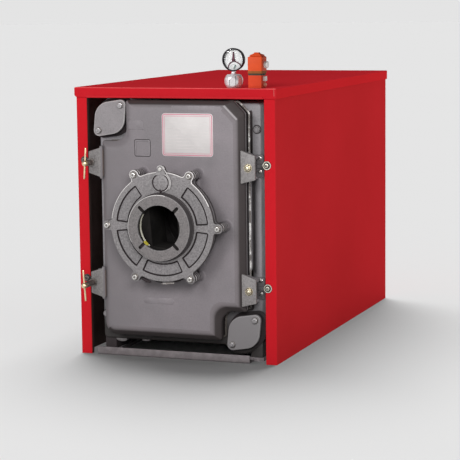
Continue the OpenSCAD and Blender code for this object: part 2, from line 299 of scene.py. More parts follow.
def ring_mark(m, x, z, r0, r1, y, mat, t=0.12):
    """A thin dark ring (or disc, with r0 = 0) let into a face that looks to -y: a painted shade mark, unless mat is the
    face's own colour.
    """
    m.mat = mat
    if r0:
        q = [m.ring([(x + q_ * math.cos(a), yy, z + q_ * math.sin(a)) for a in np.linspace(0, 2 * math.pi, 36, endpoint=False)]) for q_, yy in ((r1, y + 0.2), (r1, y - t), (r0, y - t), (r0, y + 0.2))]
        for a, b in zip(q, q[1:] + q[:1]):
            m.bridge(a, b)
    else:
        revolve([(r1, y + 0.2), (r1, y - t * 0.5), (r1 * 0.9, y - t)], (x, z), mesh=m, n=24)
    m.mat = 0


def boolean_cut(o, cutters):
    """Cuts closed meshes out of an object and applies it."""
    for c in cutters:
        me = c.data("cutter", [])
        co = bpy.data.objects.new("cutter", me)
        bpy.context.scene.collection.objects.link(co)
        md = o.modifiers.new("cut", "BOOLEAN")
        md.operation, md.solver, md.object = "DIFFERENCE", "EXACT", co
        bpy.context.view_layer.update()
        dg = bpy.context.evaluated_depsgraph_get()
        new = bpy.data.meshes.new_from_object(o.evaluated_get(dg))
        old = o.data
        o.modifiers.clear()
        o.data = new
        new.name = old.name
        bpy.data.meshes.remove(old)
        bpy.data.objects.remove(co)
        bpy.data.meshes.remove(me)
    o.data.shade_smooth()
    o.data.set_sharp_from_angle(angle=rad(38))


# ---------------------------------------------------------------- materials
def new_mat(name):
    m = bpy.data.materials.new(name)
    m.use_nodes = True
    nt = m.node_tree
    nt.nodes.clear()
    out = nt.nodes.new("ShaderNodeOutputMaterial")
    b = nt.nodes.new("ShaderNodeBsdfPrincipled")
    nt.links.new(b.outputs[0], out.inputs[0])
    tc = nt.nodes.new("ShaderNodeTexCoord")
    return m, nt, b, tc.outputs["Object"]


def noise_node(nt, co, scale, detail=4, rough=0.55, dist=0.0, stretch=None):
    if stretch:
        mp = nt.nodes.new("ShaderNodeMapping")
        mp.inputs["Scale"].default_value = stretch
        nt.links.new(co, mp.inputs["Vector"])
        co = mp.outputs[0]
    n = nt.nodes.new("ShaderNodeTexNoise")
    n.inputs["Scale"].default_value = scale
    n.inputs["Detail"].default_value = detail
    n.inputs["Roughness"].default_value = rough
    n.inputs["Distortion"].default_value = dist
    nt.links.new(co, n.inputs["Vector"])
    return n.outputs["Fac"]


def ramp(nt, fac, stops):
    r = nt.nodes.new("ShaderNodeValToRGB")
    el = r.color_ramp.elements
    while len(el) < len(stops):
        el.new(0.5)
    for e, (p, c) in zip(el, stops):
        e.position = p
        e.color = (*c, 1) if len(c) == 3 else c
    nt.links.new(fac, r.inputs["Fac"])
    return r.outputs["Color"]


def span(nt, fac, lo, hi, a=0.3, b=0.7):
    m = nt.nodes.new("ShaderNodeMapRange")
    m.inputs["From Min"].default_value = a
    m.inputs["From Max"].default_value = b
    m.inputs["To Min"].default_value = lo
    m.inputs["To Max"].default_value = hi
    nt.links.new(fac, m.inputs["Value"])
    return m.outputs[0]


def bump(nt, fac, dist, strength, prev=None):
    b = nt.nodes.new("ShaderNodeBump")
    b.inputs["Distance"].default_value = dist
    b.inputs["Strength"].default_value = strength
    nt.links.new(fac, b.inputs["Height"])
    if prev is not None:
        nt.links.new(prev, b.inputs["Normal"])
    return b.outputs[0]


def mixc(nt, fac, a, b):
    m = nt.nodes.new("ShaderNodeMix")
    m.data_type = "RGBA"
    nt.links.new(fac, m.inputs["Factor"])
    for sock, c in ((m.inputs[6], a), (m.inputs[7], b)):
        if isinstance(c, tuple):
            sock.default_value = (*c, 1) if len(c) == 3 else c
        else:
            nt.links.new(c, sock)
    return m.outputs[2]


def paint_red(name, k=1.0, spec=0.0, g=0.0, bl=0.0):
    m, nt, b, co = new_mat(name)
    big = noise_node(nt, co, 2.2, 3, 0.5)
    c = ramp(nt, big, [(0.30, (0.500 * k, 0.0125 + g, 0.0170 + bl)), (0.70, (0.560 * k, 0.0150 + g, 0.0210 + bl))])
    dust = noise_node(nt, co, 60, 6, 0.65)
    c = mixc(nt, span(nt, dust, 0.0, 0.05, 0.45, 0.75), c, (0.60, 0.05, 0.05))
    nt.links.new(c, b.inputs["Base Color"])
    nt.links.new(span(nt, noise_node(nt, co, 9, 4, 0.6), 0.34, 0.44), b.inputs["Roughness"])
    b.inputs["Specular IOR Level"].default_value = spec
    n = bump(nt, noise_node(nt, co, 5.0, 2, 0.5), 0.0006, 0.25)           # oil-canning of thin sheet
    n = bump(nt, noise_node(nt, co, 900, 2, 0.5), 0.00004, 0.35, n)        # orange peel
    nt.links.new(n, b.inputs["Normal"])
    return m


def cast(name, base, var=0.12, rough=0.62, spec=0.45, grain=1.0, tint=(0.02, 0.0, 0.01), metallic=0.0, rubbed_edge_highlight=True, speck=0.22, shade_grade=None, coarse=0.0):
    """Painted sand casting: fine grain, soft mottling, a little rubbed metal on edges that is also a painted highlight,
    and an optional painted shade along one axis.
    """
    m, nt, b, co = new_mat(name)
    r, g, bl = base
    c = ramp(nt, noise_node(nt, co, 7, 5, 0.6, 0.4), [(0.32, (r * (1 - var), g * (1 - var), bl * (1 - var))), (0.68, (r * (1 + var) + tint[0] * 0.3, g * (1 + var), bl * (1 + var) + tint[2] * 0.3))])
    fine = noise_node(nt, co, 320, 5, 0.65)
    c = mixc(nt, span(nt, fine, 0.0, speck, 0.40, 0.72), c, (r * 1.45, g * 1.43, bl * 1.44))
    c = mixc(nt, span(nt, noise_node(nt, co, 260, 4, 0.6), speck, 0.0, 0.32, 0.50), c, (r * 0.60, g * 0.60, bl * 0.60))
    if coarse:
        lump = noise_node(nt, co, 215, 3, 0.6, 0.0)
        c = mixc(nt, span(nt, lump, 0.0, coarse, 0.52, 0.66), c, (r * 1.75, g * 1.73, bl * 1.74))
        c = mixc(nt, span(nt, lump, coarse, 0.0, 0.34, 0.48), c, (r * 0.42, g * 0.41, bl * 0.41))
    if rubbed_edge_highlight:
        # sharp edges lighter: rubbed metal and a painted highlight
        geo = nt.nodes.new("ShaderNodeNewGeometry")
        edge_wear_sheen = span(nt, geo.outputs["Pointiness"], 0.0, 0.45, 0.515, 0.60)
        mul = nt.nodes.new("ShaderNodeMath")
        mul.operation = "MULTIPLY"
        nt.links.new(edge_wear_sheen, mul.inputs[0])
        nt.links.new(span(nt, noise_node(nt, co, 45, 4, 0.6), 0.0, 1.0, 0.42, 0.62), mul.inputs[1])
        c = mixc(nt, mul.outputs[0], c, (min(1, r * 2.2 + 0.04), min(1, g * 2.2 + 0.04), min(1, bl * 2.2 + 0.04)))
    if shade_grade:
        # painted shade: axis, unshaded end, fully shaded end (mm, object space), shade colour
        axis, lo, hi, shade_colour = shade_grade
        sp = nt.nodes.new("ShaderNodeSeparateXYZ")
        nt.links.new(co, sp.inputs[0])
        k = P(lo, lo, lo)[axis], P(hi, hi, hi)[axis]
        c = mixc(nt, span(nt, sp.outputs[axis], 0.0, 1.0, k[0], k[1]) if k[1] > k[0] else span(nt, sp.outputs[axis], 1.0, 0.0, k[1], k[0]), c, shade_colour)
    nt.links.new(c, b.inputs["Base Color"])
    nt.links.new(span(nt, noise_node(nt, co, 26, 5, 0.6), rough - 0.09, rough + 0.09), b.inputs["Roughness"])
    b.inputs["Specular IOR Level"].default_value = spec
    b.inputs["Metallic"].default_value = metallic
    n = bump(nt, noise_node(nt, co, 38, 4, 0.6), 0.0009 * grain, 0.35)
    n = bump(nt, fine, 0.00035 * grain, 0.55, n)
    nt.links.new(n, b.inputs["Normal"])
    return m


def metal(name, base, rough=0.28, var=0.08, scratch=240, stretch=(1, 1, 1), bumpy=0.00005, dark=None, dark_amt=0.35, metallic=1.0):
    m, nt, b, co = new_mat(name)
    f = noise_node(nt, co, scratch, 5, 0.6, 0.0, stretch)
    r, g, bl = base
    c = ramp(nt, f, [(0.30, (r * (1 - var), g * (1 - var), bl * (1 - var))), (0.70, (min(1, r * (1 + var)), min(1, g * (1 + var)), min(1, bl * (1 + var))))])
    if dark:
        c = mixc(nt, span(nt, noise_node(nt, co, 70, 5, 0.65), 0.0, dark_amt, 0.48, 0.70), c, dark)
    nt.links.new(c, b.inputs["Base Color"])
    b.inputs["Metallic"].default_value = metallic
    nt.links.new(span(nt, noise_node(nt, co, 110, 5, 0.6), rough * 0.75, rough * 1.35), b.inputs["Roughness"])
    nt.links.new(bump(nt, f, bumpy, 0.5), b.inputs["Normal"])
    return m


def plastic(name, base, rough=0.4, var=0.06, grain=0.00008, scale=500, spec=0.5, coat=0.0):
    m, nt, b, co = new_mat(name)
    r, g, bl = base
    c = ramp(nt, noise_node(nt, co, 30, 4, 0.6), [(0.3, (r * (1 - var), g * (1 - var), bl * (1 - var))), (0.7, (min(1, r * (1 + var)), min(1, g * (1 + var)), min(1, bl * (1 + var))))])
    nt.links.new(c, b.inputs["Base Color"])
    nt.links.new(span(nt, noise_node(nt, co, 60, 4, 0.6), rough - 0.05, rough + 0.06), b.inputs["Roughness"])
    b.inputs["Specular IOR Level"].default_value = spec
    b.inputs["Coat Weight"].default_value = coat
    nt.links.new(bump(nt, noise_node(nt, co, scale, 3, 0.5), grain, 0.5), b.inputs["Normal"])
    return m


M_RED = paint_red("red_powder_coat", 1.0, 0.0, 0.008, 0.007)
# dark colour for the casing's inner faces: painted shade
M_INNER_SHADE = cast("casing_inner_face", (0.062, 0.041, 0.034), rough=0.8, spec=0.2, rubbed_edge_highlight=False)
# lighter red for the lid's front top edge: painted highlight
M_RED_EDGE_HIGHLIGHT = plastic("red_paint_on_fold", (0.72, 0.075, 0.080), 0.4, 0.08, 0.00003, 400, 0.3)
# light paint for the relief slit at the lid's right front corner: painted highlight
M_SLIT_HIGHLIGHT = plastic("rubbed_corner_paint", (0.62, 0.16, 0.15), 0.5, 0.1, 0.00004, 300, 0.1)
# copies of the red paint, retinted, darkened or brightened per face: painted light and shade on the stile fronts, front
# lip, right lid side and lid top
M_RED_FRONT_LIT_TINT = paint_red("red_powder_coat_front", 1.0, 0.0, 0.0, 0.002)
M_RED_LIP_SHADED = paint_red("red_powder_coat_lip", 0.92, 0.0, 0.0, 0.002)
M_RED_LIDSIDE_LIT = paint_red("red_powder_coat_lid_side", 1.15, 0.0, 0.006, 0.006)
M_RED_LID = paint_red("red_powder_coat_lid", 0.95, 0.0, 0.006, 0.008)
# door paint darkened towards the left side: painted shade
M_DOOR = cast("door_casting_paint", (0.155, 0.141, 0.149), speck=0.28, shade_grade=(0, 240, 85, (0.132, 0.119, 0.126)))
# darker copy of the door paint for its side walls and bevels, darker still towards the back: painted shade
M_DOOR_SIDE_SHADE = cast("door_side_casting", (0.135, 0.122, 0.127), rough=0.66, spec=0.3, grain=1.3, rubbed_edge_highlight=False, shade_grade=(1, -27.9, -24.6, (0.036, 0.029, 0.029)))
M_FLANGE = cast("flange_casting_paint", (0.148, 0.140, 0.141), rough=0.50, spec=0.55, grain=1.6, speck=0.62, coarse=0.45)
# lighter copy of the door paint for the right crease, the corner facet and two boss lands: painted highlight
M_CREASE_HIGHLIGHT = cast("door_crease_rubbed", (0.190, 0.177, 0.181), rough=0.5, spec=0.5, grain=1.0, rubbed_edge_highlight=False)
# near-black for the door boss wall: painted shade
M_BOSS_WALL_SHADE = cast("boss_wall_casting", (0.030, 0.026, 0.026), rough=0.6, spec=0.4, grain=1.4, rubbed_edge_highlight=False)
# dark colour for the flange's back edge and the hub wall: painted shade
M_FLANGE_SIDE_SHADE = cast("flange_side_casting", (0.052, 0.047, 0.047), rough=0.6, spec=0.4, grain=1.4, rubbed_edge_highlight=False)
# section paint darkened towards the floor: painted shade
M_SECTION = cast("section_casting_paint", (0.150, 0.143, 0.150), rough=0.60, speck=0.4, shade_grade=(2, 175, 75, (0.020, 0.017, 0.016)))
# cover plates darkened towards the bottom: painted shade
M_PLATE = cast("cover_plate_casting", (0.172, 0.161, 0.165), rough=0.52, spec=0.55, speck=0.45, shade_grade=(2, 320, 130, (0.150, 0.140, 0.144)))
# lighter colour for the plates' front edge round: painted highlight, also darkened towards the bottom
M_PLATE_EDGE_HIGHLIGHT = cast("cover_plate_edge", (0.30, 0.285, 0.285), shade_grade=(2, 320, 130, (0.190, 0.178, 0.180)), rough=0.45, spec=0.6, grain=0.6, rubbed_edge_highlight=False)
M_LUG = cast("lug_casting", (0.138, 0.130, 0.128), rough=0.50, spec=0.55, grain=1.8, speck=0.7, coarse=0.4)
M_IRON_DARK = cast("inner_cast_iron", (0.035, 0.031, 0.030), rough=0.78, grain=1.6)
M_BRACKET = cast("bracket_casting", (0.075, 0.070, 0.072), rough=0.6, grain=1.2)
M_PIPE = cast("pipe_black_iron", (0.06, 0.058, 0.058), rough=0.5, spec=0.5, grain=0.8)
M_TOE = cast("rough_toe_casting", (0.105, 0.099, 0.099), rough=0.6, spec=0.3, grain=1.8, speck=0.7, rubbed_edge_highlight=False)
M_RAIL = cast("base_rail_primer", (0.145, 0.128, 0.131), rough=0.55, grain=0.5)
M_WORN = cast("worn_wall_edge", (0.150, 0.118, 0.105), rough=0.6, spec=0.4, grain=1.0, rubbed_edge_highlight=False)
# pale colour on upward edges of the flange, hub and boss: painted highlight
M_EDGE_HIGHLIGHT = cast("rubbed_casting_edge", (0.55, 0.53, 0.52), rough=0.42, spec=0.6, grain=0.6, rubbed_edge_highlight=False)
# near-black for grooves, gaps, bores, outlines and rings round bolts: painted shade
M_SHADE_NEAR_BLACK = cast("paint_in_grooves", (0.022, 0.019, 0.019), rough=0.8, spec=0.2, grain=0.8, rubbed_edge_highlight=False)
M_ZINC = metal("zinc_plated_steel", (0.70, 0.68, 0.66), 0.26, 0.10, 300, dark=(0.24, 0.22, 0.21), dark_amt=0.5)
M_ZINC_DARK = metal("dull_washer_steel", (0.20, 0.185, 0.175), 0.45, 0.15, 260, dark=(0.06, 0.05, 0.045), dark_amt=0.6)
M_BRIGHT = metal("machined_edge", (0.80, 0.78, 0.76), 0.24, 0.08, 400, (1, 8, 1))
M_CHROME = metal("bright_chrome", (0.80, 0.765, 0.79), 0.22, 0.03, 80, bumpy=0.00002, metallic=0.55)
M_BRASS_PALE = metal("pale_brass_plating", (0.76, 0.68, 0.50), 0.36, 0.12, 220, dark=(0.30, 0.22, 0.14), dark_amt=0.5)
M_NUT = metal("passivated_nut", (0.55, 0.53, 0.43), 0.34, 0.15, 240, dark=(0.20, 0.18, 0.13), dark_amt=0.6)
M_COVER_BOLT = metal("dull_cover_bolt", (0.46, 0.44, 0.45), 0.30, 0.12, 240, dark=(0.14, 0.13, 0.13), dark_amt=0.6)
# wire grey, also laid on the right arc of the sight cover's rim as a painted highlight
M_WIRE_AND_RIM_HIGHLIGHT = cast("spring_wire", (0.42, 0.405, 0.40), rough=0.5, spec=0.4, grain=0.3, rubbed_edge_highlight=False)
M_BRASS = metal("dull_brass", (0.82, 0.66, 0.42), 0.34, 0.10, 200, dark=(0.34, 0.22, 0.12), dark_amt=0.45)
M_OILED = metal("oiled_dark_steel", (0.24, 0.20, 0.185), 0.42, 0.2, 160, dark=(0.05, 0.035, 0.03), dark_amt=0.7)
M_BLACK = plastic("black_gauge_case", (0.010, 0.008, 0.011), 0.42, 0.1, 0.00003, 300, 0.22)
M_DIAL = plastic("white_dial", (0.84, 0.84, 0.84), 0.5, 0.02, 0.00002, 400)
M_INK = plastic("dial_ink", (0.010, 0.009, 0.012), 0.5, 0.05, 0.00002, 400)
M_ORANGE = plastic("orange_cover", (0.62, 0.070, 0.016), 0.5, 0.06, 0.00007, 600, spec=0.15)
M_ORANGE2 = plastic("orange_red_base", (0.60, 0.052, 0.016), 0.5, 0.07, 0.00007, 600, spec=0.15)
M_WHITE = plastic("white_plastic", (0.82, 0.79, 0.75), 0.45, 0.03, 0.00006, 500)
M_GREY = plastic("grey_seam_gasket", (0.16, 0.15, 0.14), 0.7, 0.1, 0.0001, 300)
M_SKIRT = plastic("cover_skirt_shade", (0.26, 0.085, 0.022), 0.6, 0.12, 0.00005, 400, 0.1)
M_SEAM = plastic("dark_seam", (0.035, 0.024, 0.012), 0.7, 0.1, 0.0001, 300)
M_FIBRE = cast("ceramic_fibre_block", (0.55, 0.47, 0.36), 0.10, 0.92, 0.2, 2.2, rubbed_edge_highlight=False)


def rope_mat(name, base, patch=0.55, size=22):
    m, nt, b, co = new_mat(name)
    w = nt.nodes.new("ShaderNodeTexWave")
    w.wave_type, w.bands_direction = "BANDS", "DIAGONAL"
    w.inputs["Scale"].default_value = 160
    w.inputs["Distortion"].default_value = 1.5
    nt.links.new(co, w.inputs["Vector"])
    f = w.outputs["Fac"]
    r, g, bl = base
    c = ramp(nt, f, [(0.1, (r * 0.62, g * 0.6, bl * 0.56)), (0.7, base)])
    c = mixc(nt, span(nt, noise_node(nt, co, size, 5, 0.65), 0.0, patch, 0.41 if patch > 0.6 else 0.45, 0.51 if patch > 0.6 else 0.75), c, (r * 0.16, g * 0.14, bl * 0.13) if patch > 0.6 else (r * 0.35, g * 0.33, bl * 0.3))
    nt.links.new(c, b.inputs["Base Color"])
    b.inputs["Roughness"].default_value = 0.9
    n = bump(nt, f, 0.0008, 0.6)
    n = bump(nt, noise_node(nt, co, 700, 3, 0.6), 0.0002, 0.6, n)
    nt.links.new(n, b.inputs["Normal"])
    return m


M_ROPE = rope_mat("woven_glass_rope", (0.97, 0.96, 0.95), 0.92, 30)
# dark copy of the white rope for its shaded runs: painted shade
M_ROPE_SHADED = rope_mat("sooty_glass_rope", (0.12, 0.105, 0.095))
M_GASKET = rope_mat("fibre_gasket", (0.70, 0.60, 0.06))
M_CREAM = rope_mat("cream_fibre_edge", (0.92, 0.90, 0.76))
M_TIE = cast("tie_rod_nut_paint", (0.120, 0.113, 0.116), rough=0.5, spec=0.6, grain=1.0)
M_HUB = cast("hub_casting_paint", (0.112, 0.103, 0.102), rough=0.50, spec=0.55, grain=1.6, speck=0.62, coarse=0.45)
M_STILE = metal("stile_bolt_zinc", (0.70, 0.67, 0.57), 0.34, 0.13, 240, dark=(0.28, 0.25, 0.19), dark_amt=0.42)
M_PANEL = cast("flange_panel_ground", (0.142, 0.135, 0.137), rough=0.62, spec=0.45, grain=2.4, rubbed_edge_highlight=False, speck=0.6, coarse=0.45)


def glass_mat():
    m, nt, b, co = new_mat("gauge_window")
    b.inputs["Transmission Weight"].default_value = 1.0
    nt.links.new(ramp(nt, noise_node(nt, co, 40, 2), [(0, (0.95, 0.97, 0.97)), (1, (0.99, 0.99, 0.99))]), b.inputs["Base Color"])
    nt.links.new(span(nt, noise_node(nt, co, 90, 3), 0.02, 0.06), b.inputs["Roughness"])
    b.inputs["IOR"].default_value = 1.45
    b.inputs["Alpha"].default_value = 0.25
    return m


M_GLASS = glass_mat()


def label_mat():
    """White enamelled plate with a soft pinkish cast and faint smudges."""
    m, nt, b, co = new_mat("enamelled_label")
    c = ramp(nt, noise_node(nt, co, 14, 4, 0.6), [(0.3, (0.44, 0.42, 0.415)), (0.7, (0.505, 0.48, 0.475))])
    c = mixc(nt, span(nt, noise_node(nt, co, 120, 5, 0.7, 0.0, (0.25, 1, 1.6)), 0.0, 0.30, 0.50, 0.72), c, (0.45, 0.42, 0.41))
    nt.links.new(c, b.inputs["Base Color"])
    nt.links.new(span(nt, noise_node(nt, co, 50, 4), 0.28, 0.42), b.inputs["Roughness"])
    b.inputs["Specular IOR Level"].default_value = 0.2
    nt.links.new(bump(nt, noise_node(nt, co, 25, 3), 0.0002, 0.3), b.inputs["Normal"])
    return m


M_LABEL = label_mat()
M_PINK = plastic("label_border_pink", (0.44, 0.09, 0.16), 0.4, 0.12, 0.00003, 300)


# ---------------------------------------------------------------- shape helpers
def bevelled(mesh, width, seg=2, angle=30.0):
    """Rounds every sharp edge of a closed Mesh (in millimetres)."""
    me = bpy.data.meshes.new("tmp")
    me.from_pydata([tuple(p) for p in mesh.v], [], mesh.f)
    me.polygons.foreach_set("material_index", mesh.m)
    bm = bmesh.new()
    bm.from_mesh(me)
    bpy.data.meshes.remove(me)
    bmesh.ops.remove_doubles(bm, verts=bm.verts, dist=1e-4)
    bmesh.ops.recalc_face_normals(bm, faces=bm.faces)
    es = [e for e in bm.edges if e.is_manifold and e.calc_face_angle(0.0) > rad(angle)]
    bmesh.ops.bevel(bm, geom=es, offset=width, offset_type="OFFSET", segments=seg, profile=0.5, affect="EDGES", clamp_overlap=True)
    out = Mesh()
    bm.verts.ensure_lookup_table()
    bm.verts.index_update()
    out.v = [tuple(v.co) for v in bm.verts]
    out.f = [[v.index for v in f.verts] for f in bm.faces]
    out.m = [f.material_index for f in bm.faces]
    bm.free()
    return out


def prism(poly, y0, y1, mesh=None):
    m = mesh or Mesh()
    m.stack([at_y(poly, y1), at_y(poly, y0)])
    return m


def prism_z(poly, z0, z1, mesh=None):
    m = mesh or Mesh()
    m.stack([[(x, y, z0) for x, y in poly], [(x, y, z1) for x, y in poly]])
    return m


def block(x0, y0, z0, x1, y1, z1, mesh=None):
    return prism([(x0, z0), (x1, z0), (x1, z1), (x0, z1)], y0, y1, mesh)


def rrect(x0, y0, x1, y1, r, n=6):
    return (arc(x1 - r, y0 + r, r, -math.pi / 2, 0, n) + arc(x1 - r, y1 - r, r, 0, math.pi / 2, n)
            + arc(x0 + r, y1 - r, r, math.pi / 2, math.pi, n) + arc(x0 + r, y0 + r, r, math.pi, 1.5 * math.pi, n))


def circle(cx, cz, r, n=64, a0=0.0):
    return [(cx + r * math.cos(a0 + 2 * math.pi * i / n), cz + r * math.sin(a0 + 2 * math.pi * i / n)) for i in range(n)]


def lobed(c, R, lobes, d=0.0, rf=9.0, step=3.0):
    """A disc with round ears [(angle deg, centre distance, radius)] joined by concave fillets, moved inwards by d.
    Returns the outline and, for each of its points, the angle that it takes on an inner circle."""
    out, ang = [], []
    lobes = sorted(lobes)
    R0 = R - d

    def alpha(Rp, rl):
        return math.acos((Rp * Rp + (R + rf) ** 2 - (rl + rf) ** 2) / (2 * Rp * (R + rf)))
    for k, (a, Rp, rl) in enumerate(lobes):
        t = rad(a)
        al = alpha(Rp, rl)
        C = np.array((Rp * math.cos(t), Rp * math.sin(t)))
        F1 = np.array(((R + rf) * math.cos(t - al), (R + rf) * math.sin(t - al)))
        F2 = np.array(((R + rf) * math.cos(t + al), (R + rf) * math.sin(t + al)))
        rf2, rl2 = rf + d, rl - d
        # concave arc into the ear
        s0 = math.atan2(*(-F1)[::-1])
        s1 = math.atan2(*(C - F1)[::-1])
        while s1 > s0:
            s1 -= 2 * math.pi
        p1 = [(F1[0] + rf2 * math.cos(s0 + (s1 - s0) * i / 6), F1[1] + rf2 * math.sin(s0 + (s1 - s0) * i / 6)) for i in range(7)]
        e0 = math.atan2(*(F1 - C)[::-1])
        e1 = math.atan2(*(F2 - C)[::-1])
        while e1 < e0:
            e1 += 2 * math.pi
        p2 = [(C[0] + rl2 * math.cos(e0 + (e1 - e0) * i / 16), C[1] + rl2 * math.sin(e0 + (e1 - e0) * i / 16)) for i in range(1, 16)]
        s0 = math.atan2(*(C - F2)[::-1])
        s1 = math.atan2(*(-F2)[::-1])
        while s1 > s0:
            s1 -= 2 * math.pi
        p3 = [(F2[0] + rf2 * math.cos(s0 + (s1 - s0) * i / 6), F2[1] + rf2 * math.sin(s0 + (s1 - s0) * i / 6)) for i in range(7)]
        pts = p1 + p2 + p3
        n = len(pts)
        out += pts
        ang += [t - al + 2 * al * i / (n - 1) for i in range(n)]
        # arc of the disc on to the next ear
        b, Rb, rb = lobes[(k + 1) % len(lobes)]
        t2 = rad(b) - alpha(Rb, rb)
        a0 = t + al
        while t2 < a0:
            t2 += 2 * math.pi
        m = max(2, int(math.degrees(t2 - a0) / step))
        for i in range(1, m):
            q = a0 + (t2 - a0) * i / m
            out.append((R0 * math.cos(q), R0 * math.sin(q)))
            ang.append(q)
    return [(c[0] + x, c[1] + z) for x, z in out], ang


def on_circle(c, r, ang):
    return [(c[0] + r * math.cos(a), c[1] + r * math.sin(a)) for a in ang]


def mono_angles(pts, c):
    a = np.unwrap([math.atan2(z - c[1], x - c[0]) for x, z in pts])
    up = np.maximum.accumulate(a)
    dn = np.minimum.accumulate(a[::-1])[::-1]
    m = (up + dn) / 2
    return list(m + np.linspace(0, 1e-4, len(m)))


def bent_sheet(path, t, r, side=1, n=6):
    """Fillets an open polyline (outer face of a folded sheet) and gives (outer, inner) point rows."""
    p = np.array(path, float)
    out = [tuple(p[0])]
    nor = []
    for i in range(1, len(p) - 1):
        a = p[i] - p[i - 1]
        b = p[i + 1] - p[i]
        a /= np.linalg.norm(a)
        b /= np.linalg.norm(b)
        turn = math.atan2(a[0] * b[1] - a[1] * b[0], a @ b)
        tt = r * math.tan(abs(turn) / 2)
        s = p[i] - a * tt
        sg = 1 if turn > 0 else -1
        c = s + np.array((-a[1], a[0])) * r * sg
        a0 = math.atan2(s[1] - c[1], s[0] - c[0])
        for j in range(n + 1):
            out.append((c[0] + r * math.cos(a0 + turn * j / n), c[1] + r * math.sin(a0 + turn * j / n)))
    out.append(tuple(p[-1]))
    q = np.array(out)
    d = np.gradient(q, axis=0)
    # normals from the neighbouring segments
    seg = np.diff(q, axis=0)
    seg /= np.linalg.norm(seg, axis=1, keepdims=True)
    tn = np.vstack([seg[:1], (seg[1:] + seg[:-1]), seg[-1:]])
    tn /= np.linalg.norm(tn, axis=1, keepdims=True)
    nn = np.stack([-tn[:, 1], tn[:, 0]], 1) * side
    k = 1.0 / np.maximum((nn[:, None, :] @ np.stack([-np.vstack([seg[:1], seg])[:, 1], np.vstack([seg[:1], seg])[:, 0]], 1)[:, :, None] * side)[:, 0, 0], 0.5)
    return q, q + nn * (t * k)[:, None]


def sheet(path, t, r, lo, hi, place, side=1, mesh=None, ease=0.25):
    """A folded sheet swept straight from lo to hi; place(u, v, w) gives (x, y, z)."""
    m = mesh or Mesh()
    o, i = bent_sheet(path, t, r, side)
    rings = []
    n = len(o)
    for w in (lo, hi):
        a = m.ring([place(u, v, w) for u, v in o])
        b = m.ring([place(u, v, w) for u, v in i])
        rings.append((a, b))
    (a0, b0), (a1, b1) = rings
    for k in range(n - 1):
        m.face((a0[k], a0[k + 1], a1[k + 1], a1[k]))
        m.face((b0[k + 1], b0[k], b1[k], b1[k + 1]))
        m.face((a0[k + 1], a0[k], b0[k], b0[k + 1]))
        m.face((a1[k], a1[k + 1], b1[k + 1], b1[k]))
    m.face((a0[0], a1[0], b1[0], b0[0]))
    m.face((a1[-1], a0[-1], b0[-1], b1[-1]))
    return m


def sector(c, r0, r1, a0, a1, rc=3.0, d=0.0, n=14):
    """Outline of a ring sector with rounded corners, moved inwards by d (counter-clockwise)."""
    pts = []
    r0, r1 = r0 + d, r1 - d
    da0, da1 = d / r1, d / r0
    rc = max(rc - d, 0.6)

    def corner(cr, ca, s0):
        cxx, czz = cr * math.cos(ca), cr * math.sin(ca)
        return [(cxx + rc * math.cos(ca + s0 + math.pi / 2 * i / 4), czz + rc * math.sin(ca + s0 + math.pi / 2 * i / 4)) for i in range(5)]
    b0, b1 = rad(a0) + d / r1, rad(a1) - d / r1
    i0, i1 = rad(a0) + d / r0, rad(a1) - d / r0
    pts += corner(r1 - rc, b0 + rc / (r1 - rc), -math.pi / 2)
    u0, u1 = b0 + rc / (r1 - rc), b1 - rc / (r1 - rc)
    pts += [(r1 * math.cos(u0 + (u1 - u0) * i / n), r1 * math.sin(u0 + (u1 - u0) * i / n)) for i in range(1, n)]
    pts += corner(r1 - rc, b1 - rc / (r1 - rc), 0)
    pts += corner(r0 + rc, i1 - rc / (r0 + rc), math.pi / 2)
    v0, v1 = i0 + rc / (r0 + rc), i1 - rc / (r0 + rc)
    pts += [(r0 * math.cos(v1 + (v0 - v1) * i / n), r0 * math.sin(v1 + (v0 - v1) * i / n)) for i in range(1, n)]
    pts += corner(r0 + rc, i0 + rc / (r0 + rc), math.pi)
    return [(c[0] + x, c[1] + z) for x, z in pts]


# ---------------------------------------------------------------- casing
ROOT, DOOR = "root", "door"


def side_panel(name, mirror):
    fx = (lambda x: 590 - x) if mirror else (lambda x: x)
    path = [(32, 15), (32, 0), (0, 0), (0, 1130), (32, 1130), (32, 1115)]
    m = sheet(path, 1.5, 2.6, 0.3, 757, lambda u, v, w: (fx(u), v, w), side=-1)
    # the inner faces are coloured dark, a painted shade, and the front faces take the retinted front red, painted light
    m.m = [1 if all(1.3 < fx(m.v[i][0]) and 1.3 < m.v[i][1] < 1128.7 for i in f) else 2 if all(m.v[i][1] < 0.9 for i in f) else 0 for f in m.f]
    return m.obj(name, [M_RED, M_INNER_SHADE, M_RED_FRONT_LIT_TINT], ROOT, "casing_red", ["side_panel_" + ("right" if mirror else "left")])


side_panel("casing_side_left", False)
side_panel("casing_side_right", True)


